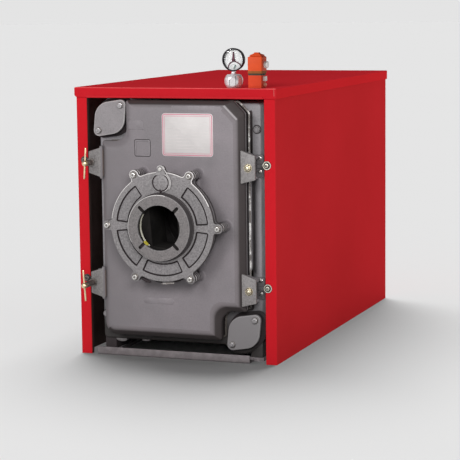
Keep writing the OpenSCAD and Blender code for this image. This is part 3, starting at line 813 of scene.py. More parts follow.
def lid():
    m = Mesh()
    o = 4.0
    x0, y0, x1, y1 = -o, -o - 1, 590 + o, 1130 + o

    def loop(inset, z, r):
        return [(x, y, z) for x, y in rrect(x0 + inset, y0 + inset, x1 - inset, y1 - inset, max(r - inset, 0.6), 5)]
    loops = [loop(1.5, 758.5, 2.6), loop(1.5, 732.3, 2.6), loop(1.2, 732, 2.6), loop(0.3, 732, 2.6), loop(0, 732.3, 2.6)]
    rf = 3.0
    for i in range(6):
        a = i * math.pi / 10
        loops.append(loop(rf - rf * math.cos(a), 760 - rf + rf * math.sin(a), 2.6))
    m.stack(loops)
    # the front top edge round takes the lighter red, a painted highlight; the front lip takes the darker copy and the
    # right side lip the brighter copy, painted shade and light; the top keeps the slightly darker lid copy
    m.m = [1 if len(f) == 4 and all(m.v[i][1] < y0 + 3.2 for i in f) and min(m.v[i][2] for i in f) > 757.6 and max(m.v[i][2] for i in f) < 759.99 else k for f, k in zip(m.f, m.m)]
    m.m = [3 if k == 0 and all(m.v[i][1] < y0 + 0.4 for i in f) else 4 if k == 0 and all(m.v[i][0] > x1 - 0.4 for i in f) else k for f, k in zip(m.f, m.m)]
    # inward hem of the front lip, between the stiles
    sheet([(5, 732), (-5, 732), (-5, 737)], 1.4, 1.6, 33.2, 556.8, lambda u, v, w: (w, u, v), side=1, mesh=m)
    ob = m.obj("casing_lid", [M_RED_LID, M_RED_EDGE_HIGHLIGHT, M_SLIT_HIGHLIGHT, M_RED_LIP_SHADED, M_RED_LIDSIDE_LIT], ROOT, "casing_red", ["top_cover"])
    # rounded lower corner of the lip at the left, relief slit at the right
    c1 = Mesh()
    R = 11.0
    pts = [(-10, 725), (-o + R, 725), (-o + R, 732)] + arc(-o + R, 732 + R, R, -math.pi / 2, -math.pi, 8)[1:] + [(-10, 732 + R)]
    prism(pts, -12, 9, c1)
    c2 = Mesh()
    # the slit's cut faces take the light slit colour, a painted highlight
    c2.mat = 2
    block(588.2, -9, 739, 589.8, -4.2, 757, c2)
    boolean_cut(ob, [c1, c2])
    return ob


lid()


def rail_front():
    m = Mesh()
    sheet([(0, 22), (0, 0), (38, 0)], 3.0, 4.0, 50, 510, lambda u, v, w: (w, u, v), side=1, mesh=m)
    return bevelled(m, 0.5, 2).obj("base_rail_front_angle", [M_RAIL], ROOT, "base_steel", ["base_rail_front"])


rail_front()

# ---------------------------------------------------------------- sections
BC = (295.0, 386.0)       # burner and furnace axis


def section_outline():
    pts = [(54 + 11 - 11 * math.cos(a), 41 + 11 - 11 * math.sin(a)) for a in np.linspace(0, math.pi / 2, 6)]
    pts += [(65 + (424.2 - 65) * i / 24, 41) for i in range(1, 24)]
    a0 = math.atan2(41 - 80, 424.2 - 473)
    pts += arc(473, 80, 62.5, a0, 0.0, 34)
    pts += [(536, 100 + (706 - 100) * i / 40) for i in range(0, 40)]
    pts += arc(525, 706, 11, 0, math.pi / 2, 6)
    x1 = 117 + math.sqrt(62.5 ** 2 - 38 ** 2)
    pts += [(525 + (x1 - 525) * i / 24, 717) for i in range(1, 24)]
    pts += arc(117, 679, 62.5, math.atan2(38, x1 - 117), math.pi, 34)
    pts += [(54, 660 + (60 - 660) * i / 40) for i in range(0, 40)]
    return pts


def section_front():
    base = section_outline()
    ang = mono_angles(base, BC)
    m = Mesh()
    y0, y1 = 38.0, 150.0
    loops = [at_y(on_circle(BC, 140, ang), y1), at_y(base, y1)]
    for d, y in edge(5.0, 5, y0, out=-1):
        loops.append(at_y(offset(base, d), y))
    inner = on_circle(BC, 152, ang)
    loops.append(at_y([((a[0] * 2 + b[0]) / 3, (a[1] * 2 + b[1]) / 3) for a, b in zip(offset(base, 5.3), inner)], y0))
    loops.append(at_y(on_circle(BC, 143, ang), y0))
    loops.append(at_y(on_circle(BC, 140, ang), y0 + 2.5))
    rs = [m.ring(l) for l in loops]
    for a, b in zip(rs, rs[1:] + rs[:1]):
        m.bridge(a, b)
    ob_mesh = m
    # near-black band on the face beside the rope seal: painted shade
    la, lb, lc = door2(2), door2(-4.0), door2(-5.5)
    for i in range(len(la)):
        j = (i + 1) % len(la)
        if min(la[i][0], la[j][0]) > 440 and min(lb[i][1], lb[j][1]) > 135 and max(lc[i][1], lc[j][1]) < 714:
            for mat, u_, v_ in ((2, la, lb), (1, lb, lc)):
                ob_mesh.mat = mat
                prism([u_[i], v_[i], v_[j], u_[j]], y0 - 0.25, y0 + 0.2, ob_mesh)
    ob_mesh.mat = 0
    # feet; the left one near-black, a painted shade
    for x in (56, 500):
        ob_mesh.add(bevelled(block(x, y0 + 4, 10, x + 34, y1, 52), 2.5, 2), 2 if x < 100 else 0)
    # rough toe beside the left foot and a stub of the casting's runner
    ob_mesh.add(bevelled(prism([(92, 34), (106, 31), (119, 33), (123, 38), (121, 58), (89, 58), (88, 40)], y0 + 4, y0 + 24), 2.2, 2, 20), 3)
    ob_mesh.add(bevelled(block(171, y0 + 8, 42, 190, y0 + 22, 60), 2.0, 2), 1)
    ob_mesh.add(bevelled(prism([(170, 38), (178, 36.5), (192, 37.5), (196, 41), (193, 44), (172, 44)], y0 + 3, y0 + 22), 1.6, 2, 20), 3)
    # bosses of the water ports, near-black with a near-black ring round each: painted shade
    for px, pz, s in ((98.5, 674, 1), (491.5, 85, 1)):
        fn = lambda d, px=px, pz=pz: lobed((px, pz), 41, [(46.66, 48.81, 13.5), (226.66, 48.81, 13.5)], d, rf=30)[0]
        ob_mesh.mat = 2
        plate(fn, 14.5, 39, 1.2, 0, ob_mesh)
        fd = lambda d, px=px, pz=pz: hull_circles([(px, pz, 54), (px + 33.5, pz + 35.5, 23), (px - 33.5, pz - 35.5, 23)], d, 96)
        plate(fd, 37.2, 39, 0.4, 0, ob_mesh)
        ob_mesh.mat = 0
    ob = ob_mesh.obj("front_section_casting", [M_SECTION, M_IRON_DARK, M_SHADE_NEAR_BLACK, M_TOE], ROOT, "section_iron", ["front_section"], angle=40)
    cuts = []
    for x in (103, 487):
        c = Mesh()
        prism(rounded([(x - 22, 266 - 22, 21.5), (x + 22, 266 - 22, 21.5), (x + 22, 506 + 22, 21.5), (x - 22, 506 + 22, 21.5)], 0, 1, 8), 34, 130, c)
        cuts.append(c)
    for z in (600, 172):
        c = Mesh()
        prism(rounded([(200, z - 24, 20), (390, z - 24, 20), (390, z + 24, 20), (200, z + 24, 20)], 0, 1, 8), 34, 130, c)
        cuts.append(c)
    boolean_cut(ob, cuts)
    return ob




def tie_rods():
    m = Mesh()
    for x, z in ((525, 646), (65, 112)):
        revolve([(6, 38), (6, 34.5), (5.2, 34)], (x, z), mesh=m, n=24)
        hex_bolt(x, z, 38, 17, 6.5, washer=10, wt=1.5, turn=10, mesh=m, tip=1.5, tip_r=6)
        ring_mark(m, x, z, 0, 5.0, 34.2, 0)
        # near-black ring on the section face round the washer: painted shade
        ring_mark(m, x, z, 8.2, 12.5, 37.6, 1)
        # rear ends
        r = Mesh()
        hex_bolt(x, z, 0, 17, 6.5, washer=10, wt=1.5, turn=25, mesh=r, tip=6, tip_r=6)
        r.transform(lambda a, b, c: (a, 1070 - b, c))
        m.add(r)
        tube([(x, 40, z), (x, 1068, z)], 6, 16, m)
    return m.obj("tie_rods_and_nuts", [M_TIE, M_SHADE_NEAR_BLACK], ROOT, "zinc_steel", ["tie_rods"], angle=30)


tie_rods()


def cover_plates():
    for name, px, pz in (("top", 98.5, 674), ("bottom", 491.5, 85)):
        fn = lambda d: hull_circles([(px, pz, 46), (px + 33.5, pz + 35.5, 16), (px - 33.5, pz - 35.5, 16)], d, 144)
        m = plate(fn, 5.5, 14.5, 2.6, 0.5)
        # the front edge round takes the lighter edge colour, a painted highlight
        m.m = [1 if min(m.v[i][1] for i in f) < 7.4 and max(m.v[i][1] for i in f) > 5.7 and len(f) == 4 else k for f, k in zip(m.f, m.m)]
        m.obj("port_cover_" + name, [M_PLATE, M_PLATE_EDGE_HIGHLIGHT], ROOT, "section_iron", ["cover_plate_" + name], angle=50)
    m = Mesh()
    for px, pz, t in ((98.5, 674, 8), (491.5, 85, 20)):
        for s in (-1, 1):
            hex_bolt(px + s * 33.5, pz + s * 35.5, 5.5, 14, 5.6, washer=9.2, wt=1.3, turn=t + 13 * s, mesh=m, washer_mat=1)
    m.obj("port_cover_bolts", [M_COVER_BOLT, M_ZINC_DARK], ROOT, "zinc_steel", ["cover_plate_bolts"], angle=30)


cover_plates()

# ---------------------------------------------------------------- brackets, latch blocks, stile bolts
ZC, ZH = (552.0, 211.5), (546.0, 207.0)          # clamp screws and hinges, upper and lower
HY_CLAMP = (-66.0, -87.0)                          # planes of the T handles
HX, HY, SX = 521.0, -6.0, 53.5


def brackets():
    m = Mesh()
    for z in ZH:
        pl = rounded([(515, z - 31, 4), (546, z - 31, 4), (546, z + 31, 4), (515, z + 31, 4)], 0, 1, 4)
        m.add(bevelled(prism(pl, 28, 38), 1.0, 2))
        for s in (-1, 1):
            z0, z1 = sorted((z + s * 8, z + s * 17))
            # arm with a round knuckle end
            pts = [(527, 30), (515, 30)] + [(HX + 7 * math.cos(a), HY + 7 * math.sin(a)) for a in np.linspace(math.pi + 0.52, 2 * math.pi - 0.35, 12)] + [(527.4, 0)]
            arm = Mesh()
            arm.stack([[(x, y, z0) for x, y in pts], [(x, y, z1) for x, y in pts]])
            m.add(bevelled(arm, 0.8, 2, 40))
        # rib out to the right and its little screws
        m.add(bevelled(block(527, 23.5, z - 5, 544, 32, z + 5), 1.2, 2))
        m2 = Mesh()
        hex_bolt(536, z - 14, 28, 8, 5, washer=5.6, wt=0.8, mesh=m2)
        hex_bolt(536, z + 22, 28, 8, 4, washer=5.2, wt=0.8, mesh=m2)
        m.add(m2, 1)
    m.obj("hinge_bracket_castings", [M_BRACKET, M_ZINC], ROOT, "section_iron", ["hinge_brackets"], angle=40)
    m = Mesh()
    for z in ZH:
        revolve([(4, z - 18), (4, z + 17), (6, z + 17), (6, z + 19.2), (5.2, z + 20)], (HX, HY), "z", 24, m)
    m.obj("hinge_pin_pair", [M_ZINC], ROOT, "zinc_steel", ["hinge_pins"])
    m = Mesh()
    for z in ZC:
        pl = rounded([(42.5, z - 31, 4), (73, z - 31, 4), (73, z + 31, 4), (42.5, z + 31, 4)], 0, 1, 4)
        m.add(bevelled(prism(pl, 28, 38), 1.0, 2))
        # threaded boss round the clamp screw
        revolve([(6.0, 28), (6.0, -11.0), (6.6, -12), (10.2, -12), (11.0, -11), (11.0, 28)], (SX, z), mesh=m, n=32, cap0=False, cap1=False)
    m.obj("latch_block_castings", [M_BRACKET], ROOT, "section_iron", ["latch_blocks"], angle=40)
    m = Mesh()
    for x, z, t, w in ((22, 555, 5, 11), (22, 219, 17, 11), (565.5, 551, 12, 12.5), (565.5, 213, 24, 12.5)):
        hex_bolt(x, z, 0, 11.2 if x > 100 else 13.4, 4.5, washer=w, wt=1.5, turn=t, mesh=m)
        # near-black rings on the washer, round its rim and in the head: painted shade
        ring_mark(m, x, z, 5.4 if x > 100 else 7.2, 9.3 if x > 100 else w - 1.7, -1.5, 1)
        ring_mark(m, x, z, w - 0.9, w - 0.1, -1.5, 1)
        ring_mark(m, x, z, 1.6, 3.6, -6.0, 1)
        # the left pair take the dark washer steel: painted shade
        if x < 100:
            m.m = [2 if k == 0 and max(abs(m.v[i][0] - 22) for i in f) < 14 else k for f, k in zip(m.f, m.m)]
    m.obj("stile_bolt_set", [M_STILE, M_SHADE_NEAR_BLACK, M_ZINC_DARK], ROOT, "zinc_steel", ["stile_bolts"], angle=30)


brackets()

# ---------------------------------------------------------------- gauge and thermostat on the lid
GX, GY = 465.0, 22.0


def gauge():
    # bush: a ball turned on hexagon bar, with a neck
    m = Mesh()
    prof = []
    for i in range(0, 19):
        z = 759.9 + 36.6 * i / 18
        q = 25.6 ** 2 - (z - 778.0) ** 2
        prof.append((max(math.sqrt(max(q, 0.0)), 11.0 - 0.08 * i), z))
    prof += [(9.0, 797.0), (7.6, 797.4), (7.2, 798.0)]
    hx = hexr(46.5)
    revolve(prof, (GX, GY), "z", 96, m, rfun=lambda q, t: min(q, hx(60.0, t - rad(12))) if q > 12 else q)
    # dark stripes at set angles on the chrome ball: painted reflections
    for k, f in enumerate(m.f):
        if len(f) != 4:
            continue
        vx, vy, vz = (sum(m.v[i][q] for i in f) / 4 for q in range(3))
        deg = math.degrees(math.atan2(vy - GY, vx - GX))
        if any(abs((deg - t + 180) % 360 - 180) < 0.62 * w for t, w in ((-98, 3.2), (-59, 3.6), (-6, 5.0), (-142, 5.0), (35, 3), (80, 3), (125, 3), (170, 3))) and 764 < vz < 792:
            m.m[k] = 1
    m.obj("gauge_bush_chrome", [M_CHROME, M_ZINC_DARK], ROOT, "chrome_steel", ["gauge_bush"], angle=16)
    cx, cz = GX + 2.5, 837.0
    dy = -5.5
    m = Mesh()
    # case: back can, flared rim, seat for the window
    revolve([(1, 27), (27, 27), (29.4, 26.0), (30.3, 24), (30.3, 12.6), (31.3, 11.8), (31.5, 11.0), (31.5, 9.2), (30.9, 8.2), (29.3, 8), (28.4, 8.3), (28.1, 9.2), (28.1, 15.4), (1, 15.4)], (cx, cz), mesh=m, n=64)
    # stem
    m.mat = 1
    revolve([(5.5, 797.6), (5.5, 809.5)], (GX + 1, 19.5), "z", 24, m)
    revolve([(6.8, 797.8), (7.2, 798.4), (7.2, 801.6), (6.8, 802.2)], (GX + 1, 19.5), "z", 6, m)
    m.mat = 0
    m.obj("gauge_case_can", [M_BLACK, M_CHROME], ROOT, "gauge_black", ["gauge_case"], angle=40)
    m = Mesh()
    revolve([(0.6, 21 + dy), (29.1, 21 + dy), (29.1, 19.6 + dy), (28.9, 19.5 + dy), (0.6, 19.5 + dy)], (cx, cz), mesh=m, n=64)
    # scale marks and the arched window line are ink pads on the dial
    m.mat = 1
    yb, yf = 19.5 + dy, 19.25 + dy

    def pad(poly):
        prism(poly, yf, yb, m)
    for i in range(25):
        a = rad(210 - i * 10)
        r0 = 23.2 if i % 4 == 0 else 25.0
        w = 0.42 if i % 4 == 0 else 0.22
        u, n_ = (math.cos(a), math.sin(a)), (-math.sin(a), math.cos(a))
        pad([(cx + r * u[0] + s * w * n_[0], cz + r * u[1] + s * w * n_[1]) for r, s in ((r0, -1), (r0, 1), (27.0, 1), (27.0, -1))])
    # thin rim circle
    for k in range(48):
        a0, a1 = rad(210 - k * 5), rad(210 - (k + 1) * 5)
        pad([(cx + r * math.cos(a), cz + r * math.sin(a)) for r, a in ((27.3, a0), (27.7, a0), (27.7, a1), (27.3, a1))])
    # arched window of the second scale: two limbs that meet under the pointer's hub
    m.mat = 2
    arch = [(cx - 15.5, cz - 23.0), (cx - 14.6, cz - 17.5), (cx - 12.0, cz - 12.0), (cx - 8.0, cz - 8.0), (cx - 3.6, cz - 6.0), (cx, cz - 3.5),
            (cx + 3.6, cz - 4.6), (cx + 9.0, cz - 6.6), (cx + 14.6, cz - 9.6), (cx + 18.6, cz - 13.4), (cx + 21.4, cz - 17.6)]
    for p, q in zip(arch, arch[1:]):
        d = np.array(q) - np.array(p)
        d = d / max(np.linalg.norm(d), 1e-6)
        n_ = np.array((-d[1], d[0])) * 1.75
        p, q = np.array(p) - d * 0.3, np.array(q) + d * 0.3
        pad([tuple(p - n_), tuple(q - n_), tuple(q + n_), tuple(p + n_)])
    m.mat = 1
    for i in range(9):
        a = rad(150 - i * 15)
        u, n_ = (math.cos(a), math.sin(a)), (-math.sin(a), math.cos(a))
        pad([(cx + r * u[0] + s * 0.25 * n_[0], cz - 24 + r * u[1] + s * 0.25 * n_[1]) for r, s in ((9.2, -1), (9.2, 1), (11.5, 1), (11.5, -1))])
    m.obj("gauge_dial_face", [M_DIAL, M_INK, M_CRIMSON], ROOT, "dial_white", ["gauge_dial"], angle=40)
    m = Mesh()
    revolve([(0.5, 13.9), (4.6, 13.9), (4.6, 11.6), (4.0, 11), (0.5, 11)], (cx, cz), mesh=m, n=24)
    m.mat = 1
    pl = [(cx - 2.6, cz - 5), (cx + 2.6, cz - 5), (cx + 2.9, cz), (cx + 1.5, cz + 20), (cx, cz + 23), (cx - 1.5, cz + 20), (cx - 2.9, cz)]
    prism(pl, 11.5, 12.7, m)
    m.mat = 2
    px, pz = cx + 1, cz - 24
    a = rad(62)
    u, n_ = (math.cos(a), math.sin(a)), (-math.sin(a), math.cos(a))
    prism([(px + r * u[0] + s * n_[0], pz + r * u[1] + s * n_[1]) for r, s in ((0, -1.3), (11.5, -0.8), (11.5, 0.8), (0, 1.3))], 12.1, 13.1, m)
    m.obj("gauge_pointer_pair", [M_CRIMSON, M_CRIMSON, M_GREENISH], ROOT, "gauge_black", ["gauge_pointers"], angle=40)
    m = Mesh()
    revolve([(0.5, 10.0), (29.0, 10.0), (29.0, 9.3), (28.6, 9.0), (0.5, 9.0)], (cx, cz), mesh=m, n=64)
    m.obj("gauge_window", [M_GLASS], ROOT, "gauge_glass", ["gauge_glass"], angle=40)


M_CRIMSON = plastic("dial_crimson", (0.085, 0.003, 0.022), 0.45, 0.08, 0.00003, 400)
M_GREENISH = plastic("dial_green", (0.03, 0.14, 0.11), 0.45, 0.08, 0.00003, 400)
gauge()


def thermostat():
    # lower housing
    m = Mesh()
    fn = lambda d: rrect(512 + d, 5 + d, 551 - d, 41 - d, max(2.5 - d, 0.6), 5)
    m.stack([[(x, y, z) for x, y in fn(d)] for d, z in ((1.0, 759.9), (0, 760.8), (0, 794.6), (0, 795.5), (0.5, 797.2), (1.6, 798))])
    m.m = [1 if min(m.v[i][2] for i in f) > 794.5 and len(f) == 4 else 0 for f in m.f]
    revolve([(7.9, 748), (8, 759.9)], (530, 24), "z", 24, m)
    # moulded rib on the front
    m.add(bevelled(block(516, 4.4, 765, 547, 6, 767), 0.4, 1))
    m.obj("thermostat_housing_base", [M_ORANGE2, M_SEAM], ROOT, "thermostat_base", ["thermostat_base"], angle=40)
    # cover: box, hip roof, round cap
    m = Mesh()
    bx = lambda d: rrect(511 + d, 4 + d, 553 - d, 43 - d, max(3.0 - d, 0.6), 5)
    loops = [(1.0, 799.5), (0.0, 800.4), (0.0, 806.4), (0.0, 842.6), (0.4, 843.6), (1.6, 844.6), (5.6, 846.4), (6.2, 846.8)]
    m.stack([[(x, y, z) for x, y in bx(d)] for d, z in loops], cap1=True)
    m.m = [2 if max(m.v[i][2] for i in f) < 806.5 else 0 for f in m.f]
    # roof: a low pyramid with a small eave
    hip = lambda d: rrect(515.5 + d, 7 + d, 548.5 - d, 39.5 - d, 1.2, 4)
    m.stack([[(x, y, z) for x, y in hip(d)] for d, z in ((1.2, 846.5), (0.2, 847.2), (0, 848.2), (0.6, 849.2), (11.2, 854.6), (13.0, 855.9), (14.0, 856.0))])
    # recessed dark seam between cover and base
    m.mat = 1
    m.stack([[(x, y, z) for x, y in rrect(512.0, 5.0, 550.8, 40.8, 2, 4)] for z in (797.4, 800.2)])
    # little cap on the roof
    m.mat = 0
    m.stack([[(x, y, z) for x, y in rrect(525 + d, 16.5 + d, 539 - d, 30.5 - d, 1.0, 4)] for d, z in ((0, 851.0), (0, 855.2), (0.8, 856.0))])
    m.obj("thermostat_housing_cover", [M_ORANGE, M_SEAM, M_SKIRT], ROOT, "thermostat_orange", ["thermostat_cover"], angle=35)
    # glands: white on the cover, a square terminal and a small grommet on the base
    m = Mesh()
    revolve([(8.6, 552.6), (9, 553.2), (9, 556.5), (8.2, 557.2), (8.2, 558.6), (9, 559.2), (9, 562.2), (8.2, 563)], (24, 823), "x", 32, m)
    sq = rounded([(17, 779, 1.5), (30, 779, 1.5), (30, 792, 1.5), (17, 792, 1.5)], 0, 0.6, 3)
    m.stack([[(x, y, z) for y, z in sq] for x in (550.5, 558.0)])
    m.mat = 1
    revolve([(5.6, 550.6), (6, 551), (6, 554.5), (4.6, 556.5), (3.6, 558)], (24, 769), "x", 24, m)
    m.obj("thermostat_cable_glands", [M_WHITE, M_PEACH], ROOT, "white_plastic", ["cable_glands"], angle=35)


M_PEACH = plastic("peach_grommet", (0.75, 0.33, 0.22), 0.5, 0.05, 0.00005, 500)
thermostat()

# ---------------------------------------------------------------- door casting
DOOR_POLY = [(83, 63, 34), (433, 63, 8), (433, 146, 50), (507, 146, 6), (507, 693, 9), (475, 725, 9), (157, 725, 6), (157, 612, 50), (83, 612, 6)]
FACE = -28.0
PCR = 162.7


def door2(d, rmin=1.2, q=0.0):
    """Door outline moved inwards by d; q is how far the top bevel and the corner facet have shifted."""
    k = max(d, 0.0) if q else 0.0
    poly = []
    for i, (x, z, r) in enumerate(DOOR_POLY):
        if i == 4:
            z -= 0.535 * k
        elif i == 5:
            x, z = x - 0.915 * k, z + 0.38 * k
        elif i == 6:
            z += 0.38 * k
        poly.append((x, z, r))
    return rounded(poly, d, rmin, 10)


section_front()


def door_casting():
    m = Mesh()
    # flange, side wall and rounded front edge, from the pocket floor out and round to the face
    prof = [(20, -16), (20, 3.2), (19.2, 4), (2.2, 4), (1.2, 3.6), (0.4, 3.0), (0, 2.2), (0, -0.6), (0, -6.6), (0, -8.5), (0.3, -10.6), (1.1, -12.4), (2.4, -14.0), (12.4, -23.4), (15.6, -25.9), (19.2, -27.2), (23.6, -27.85), (28, FACE), (31, FACE)]
    base = door2(0)
    ang = mono_angles(base, BC)
    loops, mats = [], []
    for d, y in prof:
        loops.append(at_y(door2(d, q=1.0 if y < -9 else 0.0), y))
    outer = door2(31, q=1.0)
    mid = on_circle(BC, 153, ang)
    for t in (0.25, 0.5, 0.75):
        loops.append(at_y([((1 - t) * a[0] + t * b[0], (1 - t) * a[1] + t * b[1]) for a, b in zip(outer, mid)], FACE))
    loops.append(at_y(mid, FACE))
    # fillet up into the boss, then down its bore to the pocket floor
    for i in range(1, 6):
        a = i * math.pi / 10
        loops.append(at_y(on_circle(BC, 149.5 - 7.5 * math.sin(a), ang), FACE - 7.5 + 7.5 * math.cos(a)))
    loops.append(at_y(on_circle(BC, 142, ang), -50))
    loops.append(at_y(on_circle(BC, 127.2, ang), -50))
    loops.append(at_y(on_circle(BC, 127.2, ang), -16))
    rs = [m.ring(l) for l in loops]
    for k, (a, b) in enumerate(zip(rs, rs[1:] + rs[:1])):
        for i in range(len(a)):
            j = (i + 1) % len(a)
            p, q = np.array(base[i]), np.array(base[j])
            n_ = np.array((q[1] - p[1], p[0] - q[0]))
            n_ = n_ / max(np.linalg.norm(n_), 1e-6)
            # faces that look right, down, or up right of the notch take the dark side colour, painted shade; the notch
            # bevel takes near-black, painted shade; the right crease and corner facet take the light crease colour,
            # painted highlight
            dark = n_[0] > 0.25 or (n_[1] < -0.6) or (n_[1] > 0.6 and p[0] > 150)
            notch = p[0] < 166 and p[1] > 600 and not (n_[0] < -0.9 and p[1] < 606)
            facet = abs(n_[0] - n_[1]) < 0.3
            if notch:
                m.mat = 1 if 6 <= k <= 8 else 2 if k < 6 or k == 9 else 0
            else:
                m.mat = 2 if k in (3, 4, 5) else 7 if (k == 7 or (k == 14 and facet)) and n_[0] > 0.25 and max(p[1], q[1]) > 200 else 4 if 6 <= k <= 16 and dark else 0
            m.face((a[i], a[j], b[j], b[i]))
    m.mat = 0
    # boss with its six bolt columns; grooves run round the columns
    ears = [(a, PCR, 12.4) for a in range(0, 360, 60)]

    def fn(d):
        return lobed(BC, 141, ears, d, rf=11)
    _, bang = fn(0)
    prof = [(0, -45), (0, -50), (2.4, -51), (2.4, -54), (0, -55), (0, -61), (2.4, -62), (2.4, -65), (0, -66), (0, -72), (2.4, -73), (2.4, -76), (0, -77), (0, -80.6), (0.5, -82.2), (1.8, -83.2)]
    loops = [at_y(on_circle(BC, 127.2, bang), -45)] + [at_y(fn(d)[0], y) for d, y in prof] + [at_y(on_circle(BC, 127.2, bang), -83.2)]
    rs = [m.ring(l) for l in loops]
    # groove floors, slit face and wall near-black, painted shade; two lands and the front edge round lighter, painted
    # highlight
    for k, (a, b) in enumerate(zip(rs, rs[1:] + rs[:1])):
        m.mat = 1 if k in (3, 7, 11, 16) else 5 if k in (14, 15) else 7 if k in (5, 9) else 6
        m.bridge(a, b)
    m.mat = 0
    # bolt columns run on down to the face, flaring at the foot
    for a in range(0, 360, 60):
        x, z = BC[0] + PCR * math.cos(rad(a)), BC[1] + PCR * math.sin(rad(a))
        revolve([(19, -27.6), (16.4, -28.6), (14.2, -31), (13.0, -35), (12.4, -40), (12.4, -50)], (x, z), mesh=m, n=40)
        # near-black ring where each column meets the flange: painted shade
        m.mat = 1
        revolve([(10.6, -82.5), (10.6, -86.0)], (x, z), mesh=m, n=32)
        m.mat = 0
    # latch lugs on the left, hinge lugs on the right
    for z in ZC:
        poly = [(47, z + 30), (47, z + 9.0), (SX - 3, z + 9.0)] + [(SX - 3 + 9 * math.sin(t), z + 9 * math.cos(t)) for t in np.linspace(0.25, math.pi - 0.25, 9)] + [(SX - 3, z - 9.0), (47, z - 9.0), (47, z - 30), (78, z - 40), (84, z - 43), (84, z + 43), (78, z + 40)]
        m.add(bevelled(prism(poly, -28, -18.5), 2.0, 3, 25), 3)
        for s in (-1, 1):
            web = [(48.5, s * 30), (85, s * 42), (85, s * 35), (48.5, s * 23)]
            web = [(x, z + q) for x, q in web]
            if s < 0:
                web = web[::-1]
            m.add(bevelled(prism(web[::-1], -20, 4), 1.2, 2, 25))
        # upright rim where the lug meets the wall, a dark parting groove beside it
        m.add(bevelled(block(80, -27.2, z - 46, 88.5, 2, z + 46), 2.2, 3))
        m.add(bevelled(block(88.6, -25.9, z - 38, 89.8, -14, z + 36), 0.3, 1), 2)
    for z in ZH:
        # right: tapered hinge lug, a little proud of the wall, with webs behind
        poly = [(541, z - 33), (541, z + 33), (502, z + 47), (499.5, z + 47), (499.5, z - 43), (502, z - 43)]
        m.add(bevelled(prism(poly, -29.2, -19), 1.6, 3, 20), 3)
        for s in (-1, 1):
            web = [(539, s * 31), (503, s * 43), (503, s * 36), (539, s * 24)]
            web = [(x, z + q) for x, q in web]
            m.add(bevelled(prism(web if s > 0 else web[::-1], -20, 4), 1.2, 2, 25))
    # blank cast pads: a framed square, a rounded bar under the ring
    sq = lambda d: rounded([(190, 573, 3), (234, 573, 3), (234, 617, 3), (190, 617, 3)], d, 0.6, 4)
    m.stack([at_y(sq(-0.8), -27.6), at_y(sq(0), -29.4), at_y(sq(0.6), -29.8), at_y(sq(3.0), -29.8), at_y(sq(3.6), -29.4), at_y(sq(4.2), -28.2)])
    # two thin near-black rings round the square: painted shade
    m.mat = 1
    for d0, d1 in ((-2.2, -0.5), (4.0, 5.6)):
        q = [m.ring(at_y(sq(d), y)) for d, y in ((d0, -27.6), (d0, -28.12), (d1, -28.12), (d1, -27.6))]
        for a, b in zip(q, q[1:] + q[:1]):
            m.bridge(a, b)
    m.mat = 0
    for f_ in (lambda d: rounded([(210, 160, 7), (298, 160, 7), (298, 176, 7), (210, 176, 7)], d, 0.6, 5), lambda d: rounded([(171, 645, 6), (216, 645, 6), (216, 671, 6), (171, 671, 6)], d, 0.6, 5)):
        m.stack([at_y(f_(-0.8), -27.6), at_y(f_(0.2), -28.9), at_y(f_(1.2), -29.3)])
    # low pad along the top edge
    top = lambda d: rounded([(300, 699, 2), (441, 699, 6), (448, 705, 4), (441, 711.5, 3), (300, 711.5, 2)], d, 0.6, 4)
    m.stack([at_y(top(-1.2), -27.4), at_y(top(0.0), -28.5), at_y(top(1.0), -28.8)])
    ob = m.obj("burner_door_casting", [M_DOOR, M_SHADE_NEAR_BLACK, M_WORN, M_LUG, M_DOOR_SIDE_SHADE, M_EDGE_HIGHLIGHT, M_BOSS_WALL_SHADE, M_CREASE_HIGHLIGHT], DOOR, "door_iron", ["burner_door"], angle=40)
    return ob


